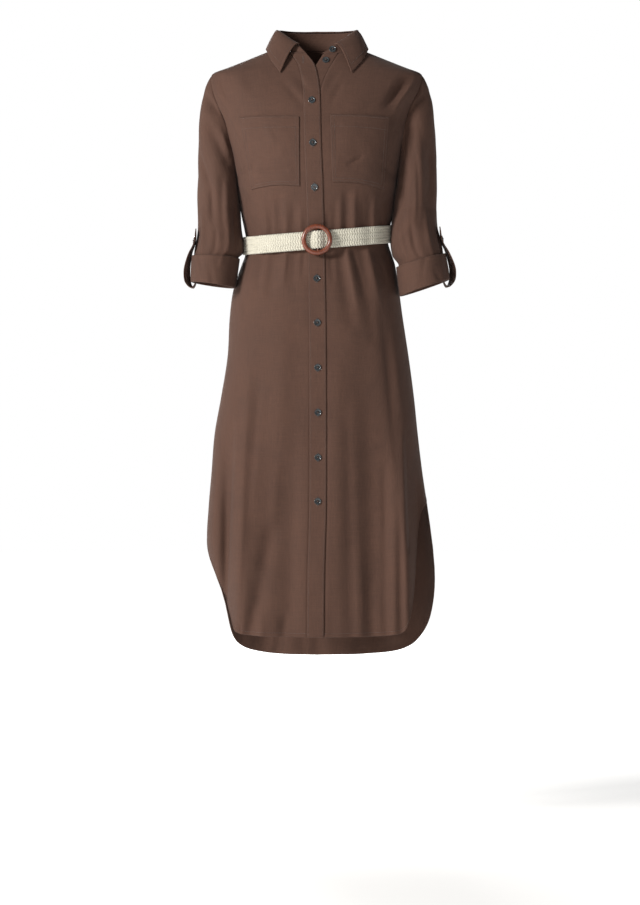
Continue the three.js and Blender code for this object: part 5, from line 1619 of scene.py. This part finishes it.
def button_material(name, color):
    """Smoky, slightly swirled shell-like plastic with a high polish."""
    n = Nodes(name)
    spot = n.add("ShaderNodeTexCoord").outputs["Object"]
    swirl = n.add("ShaderNodeTexNoise", {
        "Vector": spot, "Scale": 240, "Detail": 4, "Roughness": 0.6, "Distortion": 2.5,
    }).outputs["Fac"]
    cloud = n.noise(n.scaled(spot, (1, 1, 1)), 75, 2)
    base = n.blend(n.spread(swirl, 0.35, 0.68), tint(color, 0.55), tint(color, 2.1))
    base = n.blend(n.spread(cloud, 0.45, 0.75, 0, 0.5), base, (0.06, 0.072, 0.085, 1))
    return n.finish(base, n.spread(swirl, 0, 1, 0.12, 0.24), None, Coat_Weight=0.5,
                    Coat_Roughness=0.08)


def paper_material(name, color):
    """Pale paper that glows, with painted light growing stronger away from the dress."""
    n = Nodes(name)
    spot = n.add("ShaderNodeTexCoord").outputs["Object"]
    tone = n.noise(n.scaled(spot, (1, 1, 1)), 2.2, 3)
    away = n.add("ShaderNodeVectorMath", {"Vector": n.scaled(spot, (1, 1, 0))},
                 operation="LENGTH").outputs["Value"]
    # Painted light: the floor glows, weakly near the dress and more strongly far from it, fading into
    # the white backdrop.
    n.put(n.shader.inputs["Emission Strength"], n.spread(away, 0.6, 5, 0.3, 0.87))
    n.shader.inputs["Emission Color"].default_value = (1, 1, 1, 1)
    return n.finish(n.blend(tone, tint(color, 0.985), tint(color, 1.015)), 0.95,
                    n.bump(n.noise(spot, 400, 2), 0.05, 0.001), Specular_IOR_Level=0.1)


def dress_with(piece, material):
    piece.data.materials.clear()
    piece.data.materials.append(material)
    return piece


def material_once(name, maker, *args):
    return bpy.data.materials.get(name) or maker(name, *args)


# The maker's settings

class DressSettings(bpy.types.PropertyGroup):
    """Sizes and colours that a user would change."""

    linen: bpy.props.FloatVectorProperty(
        name="Linen", description="Colour of the cloth", subtype="COLOR", size=4,
        min=0, max=1, default=(0.083, 0.0415, 0.0285, 1))
    thread: bpy.props.FloatVectorProperty(
        name="Thread", description="Colour of the sewing thread", subtype="COLOR", size=4,
        min=0, max=1, default=(0.056, 0.028, 0.019, 1))
    braid: bpy.props.FloatVectorProperty(
        name="Braid", description="Colour of the belt's cords", subtype="COLOR", size=4,
        min=0, max=1, default=(0.56, 0.53, 0.44, 1))
    wood: bpy.props.FloatVectorProperty(
        name="Wood", description="Stain of the ring", subtype="COLOR", size=4,
        min=0, max=1, default=(0.155, 0.036, 0.015, 1))
    button: bpy.props.FloatVectorProperty(
        name="Buttons", description="Colour of the buttons", subtype="COLOR", size=4,
        min=0, max=1, default=(0.020, 0.023, 0.025, 1))
    floor: bpy.props.FloatVectorProperty(
        name="Floor", description="Colour of the studio floor", subtype="COLOR", size=4,
        min=0, max=1, default=(0.86, 0.855, 0.84, 1))
    ring_tube: bpy.props.FloatProperty(
        name="Ring thickness", description="Half thickness of the wooden ring", unit="LENGTH",
        min=0.003, max=0.008, default=RING_TUBE * MM)
    camera_distance: bpy.props.FloatProperty(
        name="Camera distance", description="From the dress's middle plane to the camera",
        unit="LENGTH", min=2, max=12, default=5)
    lens: bpy.props.FloatProperty(
        name="Lens", description="Focal length of the camera in millimetres",
        min=35, max=200, default=106.4)
    key_power: bpy.props.FloatProperty(
        name="Key light", description="Power of the main light", subtype="POWER",
        min=0, max=2000, default=340)
    air: bpy.props.FloatProperty(
        name="Soft light", description="Strength of the even light from all round",
        min=0, max=2, default=0.17)


def settings(context):
    return context.scene.dress_settings


def linen(context):
    return material_once("linen", linen_material, settings(context).linen)


def thread(context):
    return material_once("sewing_thread", thread_material, settings(context).thread)


def cloth_piece(piece, context, nodes, extra=()):
    """Finishes, declares and hands over a piece of cloth."""
    dress_with(piece, linen(context))
    for other in extra:
        dress_with(other, thread(context))
        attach(other, "root")
    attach(piece, "root")
    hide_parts(*nodes)


def hem_line(shares, levels, face):
    """Line of the hem's stitching over a panel, from one side to the other."""
    points, normals = body_spot(face, shares[:14], levels[:14])
    steps = np.linalg.norm(np.diff(points, axis=0), axis=-1)
    away = np.concatenate([np.zeros((1, points.shape[1])), np.cumsum(steps, 0)])
    share = [np.interp(HEM_DEPTH, away[:, j], shares[:14, j]) for j in range(points.shape[1])]
    level = [np.interp(HEM_DEPTH, away[:, j], levels[:14, j]) for j in range(points.shape[1])]
    return body_spot(face, np.array(share), np.array(level))


class DRESS_OT_panels(bpy.types.Operator):
    """Hang the two fronts and the back, with their folds and turned hems"""
    bl_idname = "dress.panels"
    bl_label = "Fronts and back"

    def execute(self, context):
        for side in ("right", "left"):
            shares, levels = half_panel("front", side, FRONT_COLUMNS)
            piece = panel(f"{side}_front_cloth", shares, levels, "front")
            body_spot("front", shares, levels)[0]
            hem = stitches(f"{side}_front_hem_stitches", [hem_line(shares, levels, "front")])
            cloth_piece(piece, context, [f"{side}_front"], extra=[hem])
        halves = [half_panel("back", side, BACK_COLUMNS) for side in ("right", "left")]
        shares, levels = (np.concatenate([halves[0][k][:, :0:-1], halves[1][k]], 1)
                          for k in (0, 1))
        piece = panel("back_cloth", shares, levels, "back")
        body_spot("back", shares, levels)[0]
        hem = stitches("back_hem_stitches", [hem_line(shares, levels, "back")])
        cloth_piece(piece, context, ["back"], extra=[hem])
        return {"FINISHED"}


class DRESS_OT_bands(bpy.types.Operator):
    """Lay the buttonhole band over the button band down the middle of the front"""
    bl_idname = "dress.bands"
    bl_label = "Front bands"

    def execute(self, context):
        half = BAND_WIDTH / 2
        top = -FRONT_NECK_DROP
        x, z = across_band("under", UNDER_TUCK - half, half, 9, top)
        under = layer_object("button_band_cloth", x, z, -1.0 + 0 * x, 0 * x)
        body_at("front", x, z)[0]
        cloth_piece(under, context, ["button_band"])
        x, z = across_band("upper", -half, half, 17, top)
        edge = half - np.abs(x - read(FRONT_LINE, "z", "upper", z))
        height = BAND_TOP + edge_relief(4, edge, (2.0,), 0.2, 0.3)
        upper = layer_object("buttonhole_band_cloth", x, z, LIFT + 0 * x, height)
        body_at("front", x, z)[0]
        z = np.linspace(FRONT_HEM + 3, top - 6, 500)
        middle = read(FRONT_LINE, "z", "upper", z)
        lines = [surface_line(middle + off, z, BAND_TOP + 0 * z) for off in (2 - half, half - 2)]
        seams = stitches("buttonhole_band_stitches", lines)
        cloth_piece(upper, context, ["buttonhole_band"],
                    extra=[seams])
        return {"FINISHED"}


class DRESS_OT_pockets(bpy.types.Operator):
    """Sew the two patch pockets to the chest"""
    bl_idname = "dress.pockets"
    bl_label = "Pockets"

    def execute(self, context):
        for name, corners in POCKETS.items():
            piece = pocket(name)
            width = (corners[1][0] - corners[0][0])
            length = corners[0][1] - corners[2][1] + POCKET_DIP
            lines = []
            for inset in (1.8, 6.5):
                a, b = inset / width, 1 - inset / length
                run = np.linspace(0, 1, 60)
                s = np.concatenate([0 * run + a, mix(a, 1 - a, run), 0 * run + 1 - a])
                t = np.concatenate([run * b, 0 * run + b, (1 - run) * b])
                lines.append(surface_line(*pocket_place(name, s, t), self.height(s, t)))
            for place in (1.8, POCKET_HEM):
                s = np.linspace(0.01, 0.99, 90)
                t = 0 * s + place / length
                lines.append(surface_line(*pocket_place(name, s, t), self.height(s, t)))
            seams = stitches(f"{name}_stitches", lines)
            cloth_piece(piece, context, [name],
                        extra=[seams])
        return {"FINISHED"}

    @staticmethod
    def height(s, t):
        slack = 1.6 * np.sin(np.pi * s) * np.maximum(1 - t, 0) ** 1.3
        return LIFT + CLOTH + slack + 0.15


class DRESS_OT_collar(bpy.types.Operator):
    """Set the stand to the neckline and turn the collar down over it"""
    bl_idname = "dress.collar"
    bl_label = "Stand and collar"

    def execute(self, context):
        stand = collar_stand()
        stand_grid()
        cloth_piece(stand, context, ["collar_stand"])
        fall = collar_fall()
        grid, u, share = fall_grid()
        normals = grid_normals(grid)
        normals = np.where(normals[..., 2:] < 0, -normals, normals)
        top = grid + normals * (COLLAR_WALL + 0.1)
        k = int(np.argmin(np.abs(u[0] * 62 - (62 - 5.2))))
        first = int(np.argmin(np.abs(share * 520 - 5.2)))
        last = len(share) - 1 - first
        lines = [(top[first:last + 1, k], normals[first:last + 1, k]),
                 (top[first, 2:k + 1], normals[first, 2:k + 1]),
                 (top[last, 2:k + 1], normals[last, 2:k + 1])]
        seams = stitches("collar_stitches", lines)
        cloth_piece(fall, context, ["collar_fall"],
                    extra=[seams])
        return {"FINISHED"}


class DRESS_OT_sleeves(bpy.types.Operator):
    """Hang the sleeves from the armholes with their long soft folds"""
    bl_idname = "dress.sleeves"
    bl_label = "Sleeves"

    def execute(self, context):
        for side in ("right", "left"):
            piece = sleeve(side)
            sleeve_grid(side)
            cloth_piece(piece, context, [f"sleeve_{side}"])
        return {"FINISHED"}


class DRESS_OT_cuffs(bpy.types.Operator):
    """Roll up the end of each sleeve"""
    bl_idname = "dress.cuffs"
    bl_label = "Rolled cuffs"

    def execute(self, context):
        for side in ("right", "left"):
            piece = cuff(side)
            grid = cuff_grid(side)
            cloth_piece(piece, context, [f"cuff_{side}"])
        return {"FINISHED"}


class DRESS_OT_tabs(bpy.types.Operator):
    """Bring a strap from inside each roll over it and up to its button"""
    bl_idname = "dress.tabs"
    bl_label = "Sleeve straps"

    def execute(self, context):
        for side in ("right", "left"):
            piece = tab(side)
            t = np.linspace(0.035, 0.99, 160)
            place, _, normal = tab_curve(side, t)
            lines = []
            for edge in (-1, 1):
                half = (TAB_WIDTH / 2 - 2.4) * np.clip(t * 190 / 12, 0.1, 1)
                shift = np.stack([0 * t, edge * half, 0 * t], -1)
                lines.append((place + shift + normal * TAB_WALL / 2, normal))
            seams = stitches(f"tab_{side}_stitches", lines)
            cloth_piece(piece, context, [f"tab_{side}"],
                        extra=[seams])
        return {"FINISHED"}


class DRESS_OT_buttons(bpy.types.Operator):
    """Sew on the buttons with their threads and work the buttonholes"""
    bl_idname = "dress.buttons"
    bl_label = "Buttons and buttonholes"

    def execute(self, context):
        button = model_button()
        strands = model_button_thread()
        shell = material_once("button_shell", button_material, settings(context).button)
        for name, point, out, turn in button_places():
            piece = copy_to(button, f"{name}_shell", point, out, math.radians(turn))
            dress_with(piece, shell)
            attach(piece, "root")
            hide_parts(name)
            knot = copy_to(strands, f"{name}_thread", point, out, math.radians(turn))
            dress_with(knot, thread(context))
            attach(knot, "root")
        remove(button)
        remove(strands)
        self.work_holes(context)
        return {"FINISHED"}

    def work_holes(self, context):
        spots = [(z, 0) for z in BUTTONS["z"]] + [(-29, 0)]
        for i, (z, _) in enumerate(spots):
            point, normal = body_at("front", read(FRONT_LINE, "z", "upper", z), np.array(float(z)))
            middle = point + normal * (BAND_TOP + 0.05)
            along = unit(np.array([0, 0, 1.0]) - normal * normal[2])
            piece = buttonhole(f"buttonhole_{i + 1:02d}", middle, along, normal)
            dress_with(piece, thread(context))
            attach(piece, "root")


class DRESS_OT_belt(bpy.types.Operator):
    """Plait the belt and pass it through the ring with its free end on top"""
    bl_idname = "dress.belt"
    bl_label = "Braided belt"

    def execute(self, context):
        points, faces, uvs = belt()
        piece = mesh_object("belt_braid", points, faces, uvs)
        cotton = material_once("cotton_cord", cord_material, settings(context).braid)
        dress_with(piece, cotton)
        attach(piece, "root")
        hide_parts("belt")
        return {"FINISHED"}


class DRESS_OT_buckle(bpy.types.Operator):
    """Turn the wooden ring with its bar"""
    bl_idname = "dress.buckle"
    bl_label = "Wooden ring"

    def execute(self, context):
        spot, _ = body_at("front", np.array(0.0),
                          np.array(belt_z(0, -read(BODY, "z", "front", BELT_Z))), False)
        centre = (0, (spot[1] - RING_OUT) * MM, spot[2] * MM)
        deselect()
        bpy.ops.mesh.primitive_torus_add(
            major_radius=RING_RADIUS * MM, minor_radius=settings(context).ring_tube,
            major_segments=96, minor_segments=28)
        ring = bpy.context.object
        ring.name = "belt_ring"
        ring.data.transform(Matrix.Rotation(math.radians(90), 4, "X"))
        deselect()
        bpy.ops.mesh.primitive_cylinder_add(vertices=28, radius=BAR_RADIUS * MM,
                                            depth=2 * RING_RADIUS * MM)
        bar = bpy.context.object
        bar.location = (0, (RING_OUT - BAR_OUT) * MM, 0)
        place_in_mesh(bar)
        apply_modifier(ring, "BOOLEAN", operation="UNION", object=bar, solver="EXACT")
        remove(bar)
        ring.rotation_euler = (0, -math.atan(BELT_RISE_X), 0)
        ring.location = centre
        place_in_mesh(ring)
        active(ring)
        bpy.ops.object.shade_smooth_by_angle(angle=math.radians(50))
        wood = material_once("stained_wood", wood_material, settings(context).wood, centre)
        dress_with(ring, wood)
        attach(ring, "root")
        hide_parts("belt_buckle")
        return {"FINISHED"}


FLOOR_Z = -1.46
CAMERA_X, CAMERA_Z = 0.0056, -0.753


class DRESS_OT_stage(bpy.types.Operator):
    """Set the pale floor, the soft lights and the camera"""
    bl_idname = "dress.stage"
    bl_label = "Studio"

    def execute(self, context):
        scene = context.scene
        values = settings(context)
        deselect()
        bpy.ops.mesh.primitive_circle_add(vertices=96, radius=14, fill_type="NGON",
                                          location=(0, 0, FLOOR_Z))
        floor = bpy.context.object
        floor.name = "studio_floor"
        place_in_mesh(floor)
        paper = material_once("studio_paper", paper_material, values.floor)
        dress_with(floor, paper)
        self.light("key", (-3.8, -3.3, 1.1), 1.1, values.key_power, (1, 0.985, 0.96))
        self.light("back", (-0.8, 4.8, 1.2), 1.6, values.key_power * 0.6, (1, 1, 1))
        world = bpy.data.worlds.new("studio_air")
        scene.world = world
        world.use_nodes = True
        tree = world.node_tree
        air = tree.nodes["Background"]
        air.inputs["Color"].default_value = (1, 1, 1, 1)
        seen = tree.nodes.new("ShaderNodeLightPath").outputs["Is Camera Ray"]
        strength = tree.nodes.new("ShaderNodeMapRange")
        tree.links.new(seen, strength.inputs["Value"])
        strength.inputs["To Min"].default_value = values.air
        strength.inputs["To Max"].default_value = 1
        tree.links.new(strength.outputs[0], air.inputs["Strength"])
        camera = bpy.data.objects.new("camera", bpy.data.cameras.new("camera"))
        scene.collection.objects.link(camera)
        camera.location = (CAMERA_X, -values.camera_distance, CAMERA_Z)
        camera.rotation_euler = (math.radians(90), 0, 0)
        camera.data.lens = values.lens
        camera.data.sensor_width = 36
        scene.camera = camera
        scene.view_settings.view_transform = "Standard"
        return {"FINISHED"}

    @staticmethod
    def light(name, place, size, power, color):
        lamp = bpy.data.lights.new(name, "AREA")
        lamp.energy, lamp.size, lamp.color = power, size, color
        holder = bpy.data.objects.new(name, lamp)
        bpy.context.scene.collection.objects.link(holder)
        holder.location = place
        aim = Vector((0, 0, -0.6)) - Vector(place)
        holder.rotation_euler = aim.to_track_quat("-Z", "Y").to_euler()


class DRESS_PT_panel(bpy.types.Panel):
    """Lists the dress's pieces and settings in the sidebar"""
    bl_idname = "DRESS_PT_panel"
    bl_label = "Shirt Dress"
    bl_space_type = "VIEW_3D"
    bl_region_type = "UI"
    bl_category = "Dress"

    def draw(self, context):
        for operator in STEPS:
            self.layout.operator(operator.bl_idname)
        for name in DressSettings.__annotations__:
            self.layout.prop(settings(context), name)


STEPS = (DRESS_OT_stage, DRESS_OT_panels, DRESS_OT_bands, DRESS_OT_pockets, DRESS_OT_collar,
         DRESS_OT_sleeves, DRESS_OT_cuffs, DRESS_OT_tabs, DRESS_OT_buttons, DRESS_OT_belt,
         DRESS_OT_buckle)
CLASSES = (DressSettings, *STEPS, DRESS_PT_panel)


def register():
    for kind in CLASSES:
        bpy.utils.register_class(kind)
    bpy.types.Scene.dress_settings = bpy.props.PointerProperty(type=DressSettings)


def unregister():
    del bpy.types.Scene.dress_settings
    for kind in reversed(CLASSES):
        bpy.utils.unregister_class(kind)


def main():
    register()
    for operator in STEPS:
        group, name = operator.bl_idname.split(".")
        getattr(getattr(bpy.ops, group), name)()


if __name__ == "__main__":
    main()
